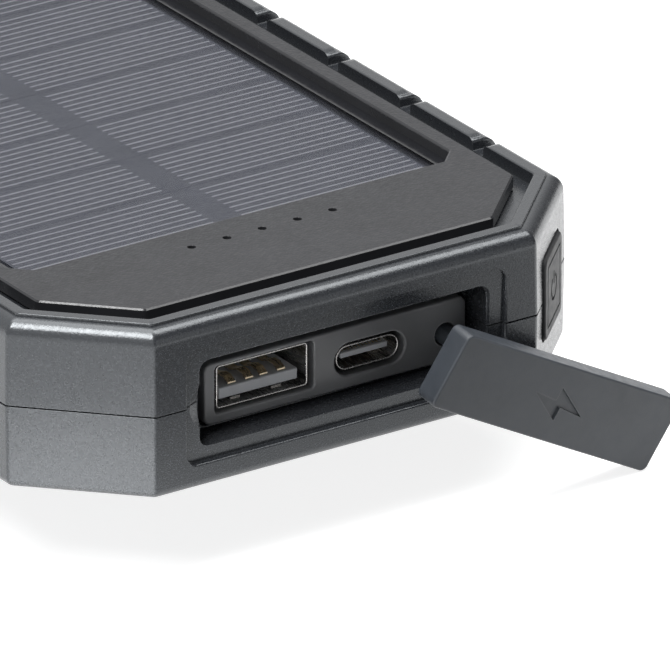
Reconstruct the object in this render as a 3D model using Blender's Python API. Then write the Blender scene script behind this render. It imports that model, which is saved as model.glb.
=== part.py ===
"""Solar phone charger: an octagonal two-part case with a solar panel in its top.

X runs across the width, Y from the port end to the back, and Z is up.
The origin is the centre of the flat bottom. Sizes are millimetres until a mesh is made.
"""

import math

import bmesh
import bpy
from mathutils import Matrix, Vector

MM = 0.001

# Case
LENGTH = 162.0
FRONT_FLAT = 54.0
CORNER_LEG = 12.7
CORNER_ROUND = 0.8
CROWN_Z = 21.4
PARTING_Z = 10.65
PARTING_GAP = 0.3
TOP_FILLET = 2.1
BOTTOM_FILLET = 1.2
WALL = 2.2
FLOOR = 1.8
CLEAR = 0.3

# Rim round the face plate and notched side rails
RIM_STEP = 0.35
RIM_WIDTH = 1.5
RIM_EDGE = 0.2
GROOVE_DEPTH = 1.75
DECK = 1.8
NOTCH_COUNT = 8
NOTCH_SETBACK = 26.05
NOTCH_WIDTH = 2.2
NOTCH_DEPTH = 1.4
NOTCH_FLARE = 0.7

# Face plate
PLATE_GAP = 2.25
PLATE_THICK = 1.54
PLATE_EDGE = 0.25
WINDOW_END_BORDER = 17.3
WINDOW_SIDE_BORDER = 2.4
WINDOW_CORNER = 2.3
LIGHT_COUNT = 5
LIGHT_PITCH = 5.0
LIGHT_SETBACK = 18.3
PINHOLE = 1.0

# Solar panel layers
PANEL_LIP = 1.0
PANEL_LEDGE = 0.5
LEDGE_WIDTH = 2.0
BOARD_THICK = 0.9
CELL_COUNT = 10
CELL_GAP = 0.6
CELL_SIDE = 2.8
CELL_FRONT = 2.15
CELL_THICK = 0.25
FILM_THICK = 0.25
LAYER_GAP = 0.1

# Port recess in the front face
RECESS_WIDTH = 40.6
RECESS_HEIGHT = 10.85
RECESS_Z = 10.85
RECESS_DEPTH = 5.4
RECESS_ROUND = 1.3
REBATE_SIDE = 2.2
REBATE_TOP = 1.8
REBATE_DEPTH = 0.5
REBATE_ROUND = 1.6
SCOOP_REACH = 1.1
SCOOP_HEIGHT = 5.4
SCOOP_DEPTH = 3.0
PORT_WALL = 1.6
PORT_CHEEK = 2.5

# Port plate and receptacles
PORT_PLATE_LEFT = 3.1
PORT_PLATE_RIGHT = 0.7
PORT_PLATE_HEIGHT = 7.6
PORT_PLATE_Z = 9.5
PORT_SHARES = (0.154, 0.309, 0.421)
PORT_PLATE_ROUND = 1.0
PORT_PLATE_PROUD = 0.8
FLANGE_LIP = 1.3
FLANGE_THICK = 0.8
PORT_GAP = 0.35
PORT_SETBACK = 0.4
METAL = 0.3
USB_A_Z = 9.7
USB_A_WIDTH = 12.5
USB_A_HEIGHT = 5.12
USB_A_DEPTH = 12.0
USB_A_TONGUE_WIDTH = 11.1
USB_A_TONGUE_THICK = 1.4
USB_A_TONGUE_RISE = 0.55
USB_A_TONGUE_SETBACK = 0.8
CONTACT_OFFSETS = (-3.5, -1.0, 1.0, 3.5)
CONTACT_WIDTH = 1.1
CONTACT_THICK = 0.2
CONTACT_BUMP = 0.5
CONTACT_LENGTH = 7.0
USB_C_Z = 9.1
USB_C_WIDTH = 8.94
USB_C_HEIGHT = 3.16
USB_C_DEPTH = 7.3
USB_C_TONGUE_WIDTH = 6.7
USB_C_TONGUE_THICK = 0.7
USB_C_TONGUE_SETBACK = 0.7
USB_C_FOOT = 1.2

# Port cover, the round rubber stem that holds it, and how far it is pulled out and turned
COVER_END_GAP = 0.9
COVER_SIDE_GAP = 0.475
COVER_THICK = 3.3
COVER_ROUND = 0.9
COVER_EDGE = 0.4
HEEL_LENGTH = 8.2
HEEL_INSET = 1.1
HEEL_THICK = 1.0
COVER_SINK = 0.6
PULL_OUT = 8.6
OPEN_TURN = 150.84
BEND_ACROSS = 3.18
BEND_RISE = 1.11
STEM_LEAN = 3.96
STEM_YAW = 2.43
STEM_Z = 9.0
STEM_RADIUS = 1.2
STEM_STRAIGHT = 2.4
STEM_BITE = 2.2
STEM_HEAD_RADIUS = 2.0
STEM_HEAD_THICK = 1.2

# Power button in the right front corner
BUTTON_WIDTH = 10.4
BUTTON_HEIGHT = 10.6
BUTTON_ROUND = 1.2
BUTTON_PROUD = 0.5
BUTTON_EDGE = 0.3
BUTTON_FLANGE = 0.8
BUTTON_TRAVEL = 0.5
POST_WIDTH = 3.0
POST_LENGTH = 0.5
PLUNGER_RADIUS = 1.2
PLUNGER_LENGTH = 2.0
SWITCH_WIDTH = 7.0
SWITCH_DEPTH = 3.6

# Main board and what stands on it
BOARD_Z = 5.4
MAIN_BOARD_THICK = 1.2
BOARD_SETBACK = 8.6
BOARD_REAR = 27.5
BOARD_SIDE = 6.7
BOARD_CORNER = 6.5
STANDOFF_RADIUS = 2.0
STANDOFFS = ((4.0, 24.0), (11.0, 11.5))
LAMP_SIZE = (1.6, 0.8, 0.7)
GUIDE_RADIUS = 0.9
GUIDE_TIP_RADIUS = 0.3
GUIDE_BAR = 2.0
CHIP_SIZE = (5.0, 5.0, 0.9)
CHIP_PLACE = (-1.0, 23.5)
COIL_SIZE = (7.2, 7.2, 3.6)
COIL_PLACE = (21.0, 22.0)
CAPACITOR_RADIUS = 2.2
CAPACITOR_HEIGHT = 5.6
CAPACITOR_PLACES = ((-19.0, 23.0), (-24.5, 23.0))

# Battery
BATTERY_SIDE = 9.7
BATTERY_SETBACK = 29.5
BATTERY_TAIL = 14.5
POUCH_ROUND = 1.2
PAD_THICK = 1.0
PAD_INSET = 4.0

# Leads
LEAD_RADIUS = 0.6
PANEL_LEADS = (("panel_lead_red", 13.0), ("panel_lead_black", 16.0))
BATTERY_LEADS = (("battery_lead_red", 4.5), ("battery_lead_black", 7.5))

# Case screws
SCREW_SIDE = 5.9
SCREW_SETBACK = 31.0
BOSS_RADIUS = 3.0
SCREW_RADIUS = 0.85
SCREW_HEAD_RADIUS = 1.9
SCREW_HEAD = 1.4
SCREW_SINK = 0.4
SCREW_BITE = 6.0

# Levels and lines worked out from the sizes above
WIDTH = FRONT_FLAT + 2 * CORNER_LEG
NOTCH_PITCH = (LENGTH - 2 * NOTCH_SETBACK) / (NOTCH_COUNT - 1)
RIM_Z = CROWN_Z + RIM_STEP
RIM_INSET = TOP_FILLET + RIM_WIDTH
DECK_Z = RIM_Z - GROOVE_DEPTH
DECK_UNDER = DECK_Z - DECK
PLATE_INSET = RIM_INSET + PLATE_GAP
PLATE_Z = DECK_Z + CLEAR
WINDOW_HALF_X = WIDTH / 2 - PLATE_INSET - WINDOW_SIDE_BORDER
WINDOW_HALF_Y = LENGTH / 2 - PLATE_INSET - WINDOW_END_BORDER
PANEL_Z = DECK_UNDER + PANEL_LEDGE + LAYER_GAP
CELL_Z = PANEL_Z + BOARD_THICK + LAYER_GAP
FILM_Z = CELL_Z + CELL_THICK + LAYER_GAP
CAVITY_FRONT = RECESS_DEPTH + PORT_WALL
PORT_FACE = RECESS_DEPTH - PORT_PLATE_PROUD
COVER_LENGTH = RECESS_WIDTH - 2 * COVER_END_GAP
COVER_HEIGHT = RECESS_HEIGHT - 2 * COVER_SIDE_GAP
CELL_WIDTH = WIDTH - 2 * BATTERY_SIDE
CELL_LENGTH = LENGTH - BATTERY_SETBACK - BATTERY_TAIL
BOARD_HALF_WIDTH = WIDTH / 2 - BOARD_SIDE
BOARD_TOP = BOARD_Z + MAIN_BOARD_THICK
SEAT_Z = BOARD_TOP + CLEAR
PORT_PLATE_WIDTH = RECESS_WIDTH - PORT_PLATE_LEFT - PORT_PLATE_RIGHT
PORT_PLATE_X = (PORT_PLATE_LEFT - PORT_PLATE_RIGHT) / 2
USB_A_SLOT = USB_A_WIDTH + 2 * (METAL + PORT_GAP)
USB_C_SLOT = USB_C_WIDTH + 2 * PORT_GAP
STEM_SLOT = 2 * (STEM_RADIUS + CLEAR)
PORT_ROOM = PORT_PLATE_WIDTH - USB_A_SLOT - USB_C_SLOT - STEM_SLOT
USB_A_X = PORT_PLATE_X - PORT_PLATE_WIDTH / 2 + PORT_SHARES[0] * PORT_ROOM + USB_A_SLOT / 2
USB_C_X = USB_A_X + PORT_SHARES[1] * PORT_ROOM + (USB_A_SLOT + USB_C_SLOT) / 2
STEM_X = USB_C_X + PORT_SHARES[2] * PORT_ROOM + (USB_C_SLOT + STEM_SLOT) / 2
POUCH_THICK = (DECK_UNDER - FLOOR - PAD_THICK - 4 * CLEAR) / 2


def behind(distance):
    """Y of a plane a distance behind the front face."""
    return distance - LENGTH / 2


def clear_scene():
    for obj in list(bpy.data.objects):
        bpy.data.objects.remove(obj, do_unlink=True)


def collection(name):
    group = bpy.data.collections.new(name)
    bpy.context.scene.collection.children.link(group)
    return group


clear_scene()
PARTS = collection("solar_phone_charger")
CUTTERS = collection("cutters")


def material(name, colour, roughness, metallic=0.0):
    """Principled material in a plain colour."""
    found = bpy.data.materials.get(name)
    if found:
        return found
    made = bpy.data.materials.new(name)
    made.use_nodes = True
    shader = made.node_tree.nodes["Principled BSDF"]
    shader.inputs["Base Color"].default_value = (*colour, 1.0)
    shader.inputs["Roughness"].default_value = roughness
    shader.inputs["Metallic"].default_value = metallic
    return made


CASE_PLASTIC = material("case_plastic", (0.075, 0.078, 0.082), 0.5)
PLATE_PLASTIC = material("plate_plastic", (0.085, 0.085, 0.09), 0.6)
PORT_PLASTIC = material("port_plastic", (0.05, 0.05, 0.052), 0.6)
SOFT_RUBBER = material("soft_rubber", (0.07, 0.075, 0.08), 0.7)
STEEL = material("steel", (0.62, 0.62, 0.63), 0.3, 1.0)
GOLD = material("gold_plate", (0.83, 0.62, 0.28), 0.3, 1.0)
TONGUE_PLASTIC = material("tongue_plastic", (0.55, 0.56, 0.57), 0.5)
SILICON = material("silicon", (0.05, 0.055, 0.09), 0.25)
FILM = material("clear_film", (0.55, 0.57, 0.62), 0.15)
CIRCUIT_BOARD = material("circuit_board", (0.02, 0.16, 0.07), 0.5)
CLEAR_PLASTIC = material("clear_plastic", (0.85, 0.87, 0.88), 0.2)
LAMP = material("lamp", (0.9, 0.9, 0.8), 0.3)
CHIP = material("chip", (0.02, 0.02, 0.02), 0.5)
FERRITE = material("ferrite", (0.12, 0.12, 0.12), 0.7)
POUCH = material("pouch", (0.55, 0.56, 0.58), 0.4, 0.6)
FOAM = material("foam", (0.12, 0.12, 0.12), 0.9)
RED_LEAD = material("red_lead", (0.6, 0.03, 0.03), 0.5)
BLACK_LEAD = material("black_lead", (0.02, 0.02, 0.02), 0.5)


def make_object(name, mesh, group):
    """Object from a bmesh, with smooth round faces and sharp edges."""
    bmesh.ops.recalc_face_normals(mesh, faces=mesh.faces)
    data = bpy.data.meshes.new(name)
    mesh.to_mesh(data)
    mesh.free()
    data.shade_smooth()
    data.set_sharp_from_angle(angle=math.radians(35))
    obj = bpy.data.objects.new(name, data)
    group.objects.link(obj)
    return obj


def part(name, mesh, finish):
    obj = make_object(name, mesh, PARTS)
    obj.data.materials.append(finish)
    return obj


def cutter(name, mesh):
    obj = make_object(name, mesh, CUTTERS)
    obj.hide_render = True
    obj.display_type = "WIRE"
    return obj


def combine(target, operation, tools):
    for tool in tools:
        modifier = target.modifiers.new(tool.name, "BOOLEAN")
        modifier.operation = operation
        modifier.object = tool
        modifier.solver = "EXACT"


def carve(target, *tools):
    combine(target, "DIFFERENCE", tools)


def fuse(target, *tools):
    combine(target, "UNION", tools)


def box(low, high):
    """Box between two corners."""
    low, high = Vector(low) * MM, Vector(high) * MM
    mesh = bmesh.new()
    bmesh.ops.create_cube(mesh, size=1.0)
    bmesh.ops.scale(mesh, vec=high - low, verts=mesh.verts)
    bmesh.ops.translate(mesh, vec=(low + high) / 2, verts=mesh.verts)
    return mesh


def block(centre, size):
    """Box about a centre."""
    half = Vector(size) / 2
    return box(Vector(centre) - half, Vector(centre) + half)


def rod(start, end, radius, sides=20, end_radius=None):
    """Cylinder or cone between two points."""
    start, end = Vector(start) * MM, Vector(end) * MM
    run = end - start
    turn = run.to_track_quat("Z", "Y").to_matrix().to_4x4()
    mesh = bmesh.new()
    bmesh.ops.create_cone(
        mesh,
        cap_ends=True,
        segments=sides,
        radius1=radius * MM,
        radius2=(radius if end_radius is None else end_radius) * MM,
        depth=run.length,
        matrix=Matrix.Translation((start + end) / 2) @ turn,
    )
    return mesh


def merge(meshes):
    """One mesh out of several separate ones."""
    whole = bmesh.new()
    for mesh in meshes:
        data = bpy.data.meshes.new("merge")
        mesh.to_mesh(data)
        mesh.free()
        whole.from_mesh(data)
        bpy.data.meshes.remove(data)
    return whole


def rounded(corners, radius, steps):
    """Convex outline, listed counter-clockwise, with each corner turned to an arc."""
    outline = []
    for i, point in enumerate(corners):
        corner = Vector(point)
        to_last = (Vector(corners[i - 1]) - corner).normalized()
        to_next = (Vector(corners[(i + 1) % len(corners)]) - corner).normalized()
        half = to_last.angle(to_next) / 2
        centre = corner + (to_last + to_next).normalized() * (radius / math.sin(half))
        start = corner + to_last * (radius / math.tan(half)) - centre
        for k in range(steps + 1):
            turn = Matrix.Rotation((math.pi - 2 * half) * k / steps, 2)
            outline.append(centre + turn @ start)
    return outline


def rectangle(half_x, half_y, centre=(0.0, 0.0)):
    x, y = centre
    return [
        (x - half_x, y - half_y),
        (x + half_x, y - half_y),
        (x + half_x, y + half_y),
        (x - half_x, y + half_y),
    ]


def chamfered(half_x, half_y, leg):
    """Rectangle about the origin with cut corners."""
    return [
        (-half_x + leg, -half_y),
        (half_x - leg, -half_y),
        (half_x, -half_y + leg),
        (half_x, half_y - leg),
        (half_x - leg, half_y),
        (-half_x + leg, half_y),
        (-half_x, half_y - leg),
        (-half_x, -half_y + leg),
    ]


def octagon(inset):
    """The case outline, drawn in by a distance on every side."""
    leg = CORNER_LEG - inset * (2 - math.sqrt(2))
    return chamfered(WIDTH / 2 - inset, LENGTH / 2 - inset, leg)


def prism(outline, low, high):
    """Flat outline in X and Y, extruded from one level to another."""
    mesh = bmesh.new()
    verts = [mesh.verts.new(Vector((x, y, low)) * MM) for x, y in outline]
    face = mesh.faces.new(verts)
    grown = bmesh.ops.extrude_face_region(mesh, geom=[face])["geom"]
    moved = [item for item in grown if isinstance(item, bmesh.types.BMVert)]
    bmesh.ops.translate(mesh, vec=(0, 0, (high - low) * MM), verts=moved)
    return mesh


def loft(rings):
    """Closed skin through rings of equal count, capped at both ends."""
    mesh = bmesh.new()
    rows = [[mesh.verts.new(Vector(point) * MM) for point in ring] for ring in rings]
    for low, high in zip(rows, rows[1:]):
        for i, corner in enumerate(low):
            j = (i + 1) % len(low)
            mesh.faces.new((corner, low[j], high[j], high[i]))
    mesh.faces.new(rows[0])
    mesh.faces.new(rows[-1])
    return mesh


def level(outline, z):
    return [(x, y, z) for x, y in outline]


def facing(outline, y):
    """Outline in X and Z on a plane across the length."""
    return [(x, y, z) for x, z in outline]


def case_ring(z, inset):
    return level(rounded(octagon(inset), CORNER_ROUND, 2), z)


def quarter(radius, steps):
    """Rise and inset of a quarter round, from upright to flat."""
    angles = [math.radians(90 * k / steps) for k in range(steps + 1)]
    return [(radius * math.sin(a), radius * (1 - math.cos(a))) for a in angles]


def cavity(name, low, high):
    """Room inside the walls, kept behind the thick wall of the port recess."""
    outline = octagon(WALL)
    half = FRONT_FLAT / 2 - PORT_CHEEK
    step = [
        (-half, behind(WALL)),
        (-half, behind(CAVITY_FRONT)),
        (half, behind(CAVITY_FRONT)),
        (half, behind(WALL)),
    ]
    return cutter(name, prism(outline[:1] + step + outline[1:], low, high))


def corner_frame():
    """Frame on the right front corner face: X along it, Y up, Z outward."""
    middle = CORNER_LEG / 2
    place = Matrix.Translation(Vector((WIDTH / 2 - middle, behind(middle), PARTING_Z)) * MM)
    along = Vector((1, 1, 0)).normalized()
    out = Vector((1, -1, 0)).normalized()
    turn = Matrix((along, Vector((0, 0, 1)), out)).transposed().to_4x4()
    return place @ turn


def recess_cutters():
    """The shallow rebate, the deep recess, the thumb scoop and the opening for the port plate."""
    half_x, half_z = RECESS_WIDTH / 2, RECESS_HEIGHT / 2
    middle = (0.0, RECESS_Z)
    rebate = rounded(rectangle(half_x + REBATE_SIDE, half_z + REBATE_TOP, middle), REBATE_ROUND, 3)
    recess = rounded(rectangle(half_x, half_z, middle), RECESS_ROUND, 3)
    arc = (SCOOP_HEIGHT ** 2 / 4 + SCOOP_REACH ** 2) / (2 * SCOOP_REACH)
    scoop_x = arc - half_x - SCOOP_REACH
    plate = rounded(port_plate_outline(CLEAR), PORT_PLATE_ROUND, 2)
    out = behind(-1.0)
    return [
        cutter("rebate", loft([facing(rebate, out), facing(rebate, behind(REBATE_DEPTH))])),
        cutter("recess", loft([facing(recess, out), facing(recess, behind(RECESS_DEPTH))])),
        cutter("scoop", rod((scoop_x, out, RECESS_Z), (scoop_x, behind(SCOOP_DEPTH), RECESS_Z), arc, 40)),
        cutter("port_opening", loft([
            facing(plate, behind(RECESS_DEPTH - 1.0)),
            facing(plate, behind(CAVITY_FRONT + 1.0)),
        ])),
    ]


def port_plate_outline(margin):
    half = (PORT_PLATE_WIDTH / 2 + margin, PORT_PLATE_HEIGHT / 2 + margin)
    return rectangle(*half, (PORT_PLATE_X, PORT_PLATE_Z))


def button_opening():
    outline = rounded(
        rectangle(BUTTON_WIDTH / 2 + CLEAR, BUTTON_HEIGHT / 2 + CLEAR), BUTTON_ROUND + CLEAR, 3)
    tool = cutter("button_opening", loft([level(outline, -WALL - 1.0), level(outline, 2.0)]))
    tool.matrix_world = corner_frame()
    return tool


def screw_places():
    across, along = WIDTH / 2 - SCREW_SIDE, LENGTH / 2 - SCREW_SETBACK
    return [(x, y) for x in (-across, across) for y in (-along, along)]


def rail_notches():
    """Slots across both side rails, flared at the top so that the blocks have eased ends."""
    floor = RIM_Z - NOTCH_DEPTH
    half = NOTCH_WIDTH / 2
    profile = [
        (-half, floor),
        (half, floor),
        (half, CROWN_Z - NOTCH_FLARE),
        (half + NOTCH_FLARE, RIM_Z + CLEAR),
        (-half - NOTCH_FLARE, RIM_Z + CLEAR),
        (-half, CROWN_Z - NOTCH_FLARE),
    ]
    inner, outer = WIDTH / 2 - RIM_INSET - 1.0, WIDTH / 2 + 1.0
    slots = []
    for side in (-1, 1):
        for k in range(NOTCH_COUNT):
            y = (k - (NOTCH_COUNT - 1) / 2) * NOTCH_PITCH
            ends = [[(side * x, y + v, z) for v, z in profile] for x in (inner, outer)]
            slots.append(loft(ends))
    whole = merge(slots)
    bmesh.ops.recalc_face_normals(whole, faces=whole.faces)
    return cutter("rail_notches", whole)


def light_places():
    middle = (LIGHT_COUNT - 1) / 2
    return [(k - middle) * LIGHT_PITCH for k in range(LIGHT_COUNT)]


def pin_holes(name, radius, low, high):
    y = behind(LIGHT_SETBACK)
    return cutter(name, merge([rod((x, y, low), (x, y, high), radius, 12) for x in light_places()]))


def upper_shell(shared):
    low = PARTING_Z + PARTING_GAP / 2
    rings = [case_ring(low, 0)]
    rings += [case_ring(CROWN_Z - TOP_FILLET + rise, inset) for rise, inset in quarter(TOP_FILLET, 4)]
    rings += [
        case_ring(RIM_Z, TOP_FILLET),
        case_ring(RIM_Z, RIM_INSET - RIM_EDGE),
        case_ring(RIM_Z - RIM_EDGE, RIM_INSET),
        case_ring(DECK_Z, RIM_INSET),
    ]
    shell = part("upper_shell", loft(rings), CASE_PLASTIC)
    pocket = (WINDOW_HALF_X + PANEL_LIP + CLEAR, WINDOW_HALF_Y + PANEL_LIP + CLEAR)
    ledge = DECK_UNDER + PANEL_LEDGE
    room = (pocket[0] - LEDGE_WIDTH, pocket[1] - LEDGE_WIDTH)
    boss = merge([rod((x, y, low), (x, y, DECK_UNDER + DECK / 2), BOSS_RADIUS) for x, y in screw_places()])
    bite = PARTING_Z + SCREW_BITE + CLEAR
    pilot = merge([rod((x, y, low - 1), (x, y, bite), SCREW_RADIUS + CLEAR, 12) for x, y in screw_places()])
    carve(shell, cavity("upper_cavity", low - 1.0, DECK_UNDER))
    fuse(shell, cutter("upper_bosses", boss))
    carve(
        shell,
        cutter("upper_pilots", pilot),
        cutter("panel_pocket", prism(rectangle(*pocket), ledge, DECK_Z + 1.0)),
        cutter("panel_room", prism(rectangle(*room), DECK_UNDER - 1.0, DECK_Z + 0.5)),
        pin_holes("guide_holes", GUIDE_RADIUS + CLEAR, DECK_UNDER - 1.0, DECK_Z + 1.0),
        rail_notches(),
        *shared,
    )
    return shell


def lower_shell(shared):
    high = PARTING_Z - PARTING_GAP / 2
    curve = reversed(quarter(BOTTOM_FILLET, 3))
    rings = [case_ring(BOTTOM_FILLET - rise, inset) for rise, inset in curve]
    rings.append(case_ring(high, 0))
    shell = part("lower_shell", loft(rings), CASE_PLASTIC)
    posts = [rod((x, y, FLOOR / 2), (x, y, high), BOSS_RADIUS) for x, y in screw_places()]
    for side, setback in STANDOFFS:
        for x in (side - BOARD_HALF_WIDTH, BOARD_HALF_WIDTH - side):
            foot, head = (x, behind(setback), FLOOR / 2), (x, behind(setback), BOARD_Z - CLEAR)
            posts.append(rod(foot, head, STANDOFF_RADIUS))
    head_room = SCREW_SINK + SCREW_HEAD + CLEAR
    holes = [rod((x, y, -1), (x, y, high + 1), SCREW_RADIUS + CLEAR, 12) for x, y in screw_places()]
    sinks = [rod((x, y, -1), (x, y, head_room), SCREW_HEAD_RADIUS + CLEAR) for x, y in screw_places()]
    carve(shell, cavity("lower_cavity", FLOOR, high + 1.0))
    fuse(shell, cutter("lower_posts", merge(posts)))
    carve(shell, cutter("screw_holes", merge(holes)), cutter("screw_sinks", merge(sinks)), *shared)
    return shell


def face_plate():
    top = PLATE_Z + PLATE_THICK
    plate = part("face_plate", loft([
        case_ring(PLATE_Z, PLATE_INSET),
        case_ring(top - PLATE_EDGE, PLATE_INSET),
        case_ring(top, PLATE_INSET + PLATE_EDGE),
    ]), PLATE_PLASTIC)
    window = chamfered(WINDOW_HALF_X, WINDOW_HALF_Y, WINDOW_CORNER)
    carve(
        plate,
        cutter("window", prism(window, PLATE_Z - 1.0, top + 1.0)),
        pin_holes("pin_holes", PINHOLE / 2, PLATE_Z - 1.0, top + 1.0),
    )


def solar_panel():
    """Backing board, a row of cell strips and the clear layer over them."""
    half_x, half_y = WINDOW_HALF_X + PANEL_LIP, WINDOW_HALF_Y + PANEL_LIP
    part("panel_board", prism(rectangle(half_x, half_y), PANEL_Z, PANEL_Z + BOARD_THICK), CHIP)
    clear = chamfered(WINDOW_HALF_X - CLEAR, WINDOW_HALF_Y - CLEAR, WINDOW_CORNER)
    part("panel_film", prism(clear, FILM_Z, FILM_Z + FILM_THICK), FILM)
    pitch = (2 * WINDOW_HALF_Y - CELL_FRONT - CLEAR) / CELL_COUNT
    width = 2 * (WINDOW_HALF_X - CELL_SIDE)
    for k in range(CELL_COUNT):
        y = CELL_FRONT - WINDOW_HALF_Y + (k + 0.5) * pitch
        middle = (0, y, CELL_Z + CELL_THICK / 2)
        part(f"solar_cell_{k + 1:02d}", block(middle, (width, pitch - CELL_GAP, CELL_THICK)), SILICON)


def receptacle_outline(width, height, centre, radius, steps):
    return rounded(rectangle(width / 2, height / 2, centre), radius, steps)


def port_plate():
    front, back = behind(PORT_FACE), behind(CAVITY_FRONT + CLEAR)
    face = rounded(port_plate_outline(0.0), PORT_PLATE_ROUND, 2)
    flange = rounded(port_plate_outline(FLANGE_LIP), PORT_PLATE_ROUND, 2)
    plate = part("port_plate", loft([
        facing(face, front),
        facing(face, back),
        facing(flange, back),
        facing(flange, back + FLANGE_THICK),
    ]), PORT_PLASTIC)
    a_height = USB_A_HEIGHT + 2 * (METAL + PORT_GAP)
    a_slot = receptacle_outline(USB_A_SLOT, a_height, (USB_A_X, USB_A_Z), 0.5, 2)
    c_height = USB_C_HEIGHT + 2 * PORT_GAP
    c_slot = receptacle_outline(USB_C_SLOT, c_height, (USB_C_X, USB_C_Z), c_height / 2 - 0.02, 5)
    ends = (front - 1.0, back + FLANGE_THICK + 1.0)
    carve(
        plate,
        cutter("usb_a_slot", loft([facing(a_slot, y) for y in ends])),
        cutter("usb_c_slot", loft([facing(c_slot, y) for y in ends])),
        cutter("stem_hole", rod(stem_point(1.0), stem_point(ends[0] - ends[1]), STEM_RADIUS + CLEAR)),
    )


def usb_a():
    """Steel shell open at the front, a tongue in its lower half and four sprung contacts."""
    front = behind(PORT_FACE + PORT_SETBACK)
    back = front + USB_A_DEPTH
    middle = (USB_A_X, USB_A_Z)
    outer = receptacle_outline(USB_A_WIDTH + 2 * METAL, USB_A_HEIGHT + 2 * METAL, middle, 0.4, 2)
    inner = receptacle_outline(USB_A_WIDTH, USB_A_HEIGHT, middle, 0.2, 2)
    shell = part("usb_a_shell", loft([facing(outer, front), facing(outer, back)]), STEEL)
    carve(shell, cutter("usb_a_room", loft([facing(inner, front - 1), facing(inner, back - METAL)])))
    low = USB_A_Z - USB_A_HEIGHT / 2 + USB_A_TONGUE_RISE
    high = low + USB_A_TONGUE_THICK
    start = front + USB_A_TONGUE_SETBACK
    half = USB_A_TONGUE_WIDTH / 2
    part("usb_a_tongue", box(
        (USB_A_X - half, start, low), (USB_A_X + half, back - METAL - CLEAR, high)), TONGUE_PLASTIC)
    for k, offset in enumerate(CONTACT_OFFSETS):
        part(f"usb_a_contact_{k + 1}", contact_strip(USB_A_X + offset, start + 0.6, high + LAYER_GAP), GOLD)


def contact_strip(x, y, z):
    """Thin strip with a raised nose near its free end."""
    run = [(0.0, 0.0), (1.0, CONTACT_BUMP), (2.0, CONTACT_BUMP), (3.4, 0.0), (CONTACT_LENGTH, 0.0)]
    half = CONTACT_WIDTH / 2
    rings = []
    for along, rise in run:
        low, high = z + rise, z + rise + CONTACT_THICK
        rings.append([
            (x - half, y + along, low),
            (x + half, y + along, low),
            (x + half, y + along, high),
            (x - half, y + along, high),
        ])
    return loft(rings)


def usb_c():
    """Rounded steel shell on two feet, with a thin tongue in its middle."""
    front = behind(PORT_FACE + PORT_SETBACK)
    back = front + USB_C_DEPTH
    middle = (USB_C_X, USB_C_Z)
    bend = USB_C_HEIGHT / 2 - 0.02
    outer = receptacle_outline(USB_C_WIDTH, USB_C_HEIGHT, middle, bend, 5)
    inner = receptacle_outline(USB_C_WIDTH - 2 * METAL, USB_C_HEIGHT - 2 * METAL, middle, bend - METAL, 5)
    shell = part("usb_c_shell", loft([facing(outer, front), facing(outer, back)]), STEEL)
    feet = []
    for side in (-1, 1):
        x = USB_C_X + side * (USB_C_WIDTH / 2 - USB_C_HEIGHT / 2)
        y = back - USB_C_FOOT
        top = USB_C_Z - USB_C_HEIGHT / 2 + METAL / 2
        feet.append(box(
            (x - USB_C_FOOT / 2, y - USB_C_FOOT, SEAT_Z), (x + USB_C_FOOT / 2, y, top)))
    fuse(shell, cutter("usb_c_feet", merge(feet)))
    carve(shell, cutter("usb_c_room", loft([facing(inner, front - 1), facing(inner, back - METAL)])))
    start = front + USB_C_TONGUE_SETBACK
    size = (USB_C_TONGUE_WIDTH, back - METAL - CLEAR - start, USB_C_TONGUE_THICK)
    part("usb_c_tongue", block((USB_C_X, start + size[1] / 2, USB_C_Z), size), CHIP)


def stem_lean():
    """Turn that leans the stem's outward direction, which is the frame's -Y."""
    yaw = Matrix.Rotation(math.radians(STEM_YAW), 4, "Z")
    return yaw @ Matrix.Rotation(math.radians(STEM_LEAN), 4, "X")


def stem_point(out):
    """Point on the stem's line in the port plate, a distance out from the plate's face."""
    return Vector((STEM_X, behind(PORT_FACE), STEM_Z)) + stem_lean() @ Vector((0, -out, 0))


def turn_point(out):
    """Point on the axis that the cover turns about, a distance out from the port plate."""
    bend = Vector((-BEND_ACROSS, 0, BEND_RISE))
    return bend + stem_point(out)


def seated_cover():
    """Pose of the closed cover: X along it from its stem end, Z out of its face."""
    place = Vector((COVER_LENGTH / 2, behind(COVER_SINK), RECESS_Z))
    turn = Matrix(((-1, 0, 0), (0, 0, -1), (0, -1, 0))).transposed().to_4x4()
    return Matrix.Translation(place * MM) @ turn


def port_cover():
    """Flat rubber block with eased edges, and a heel behind one end with a bore for the stem."""
    rings = [
        cover_ring(COVER_EDGE, -COVER_THICK),
        cover_ring(0.0, COVER_EDGE - COVER_THICK),
        cover_ring(0.0, -COVER_EDGE),
        cover_ring(COVER_EDGE, 0.0),
    ]
    cover = part("port_cover", loft(rings), SOFT_RUBBER)
    axis = Matrix.Translation(turn_point(0) * MM) @ stem_lean()
    hinge = bpy.data.objects.new("cover_axis", None)
    PARTS.objects.link(hinge)
    pulled = Matrix.Translation((0, -PULL_OUT * MM, 0))
    hinge.matrix_world = axis @ pulled @ Matrix.Rotation(math.radians(-OPEN_TURN), 4, "Y")
    middle = (HEEL_INSET + HEEL_LENGTH / 2, 0.0)
    outline = rounded(rectangle(HEEL_LENGTH / 2, COVER_HEIGHT / 2 - HEEL_INSET, middle), COVER_ROUND, 2)
    heel_back = -COVER_THICK - HEEL_THICK
    heel = cutter("cover_heel", loft([level(outline, heel_back), level(outline, -COVER_THICK / 2)]))
    for obj in (cover, heel):
        obj.parent = hinge
        obj.matrix_local = axis.inverted() @ seated_cover()
    back = cover_back()
    bore = rod(turn_point(back - HEEL_THICK), turn_point(back + STEM_BITE + CLEAR), STEM_RADIUS + CLEAR)
    fuse(cover, heel)
    carve(cover, cutter("cover_bore", bore))


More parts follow.
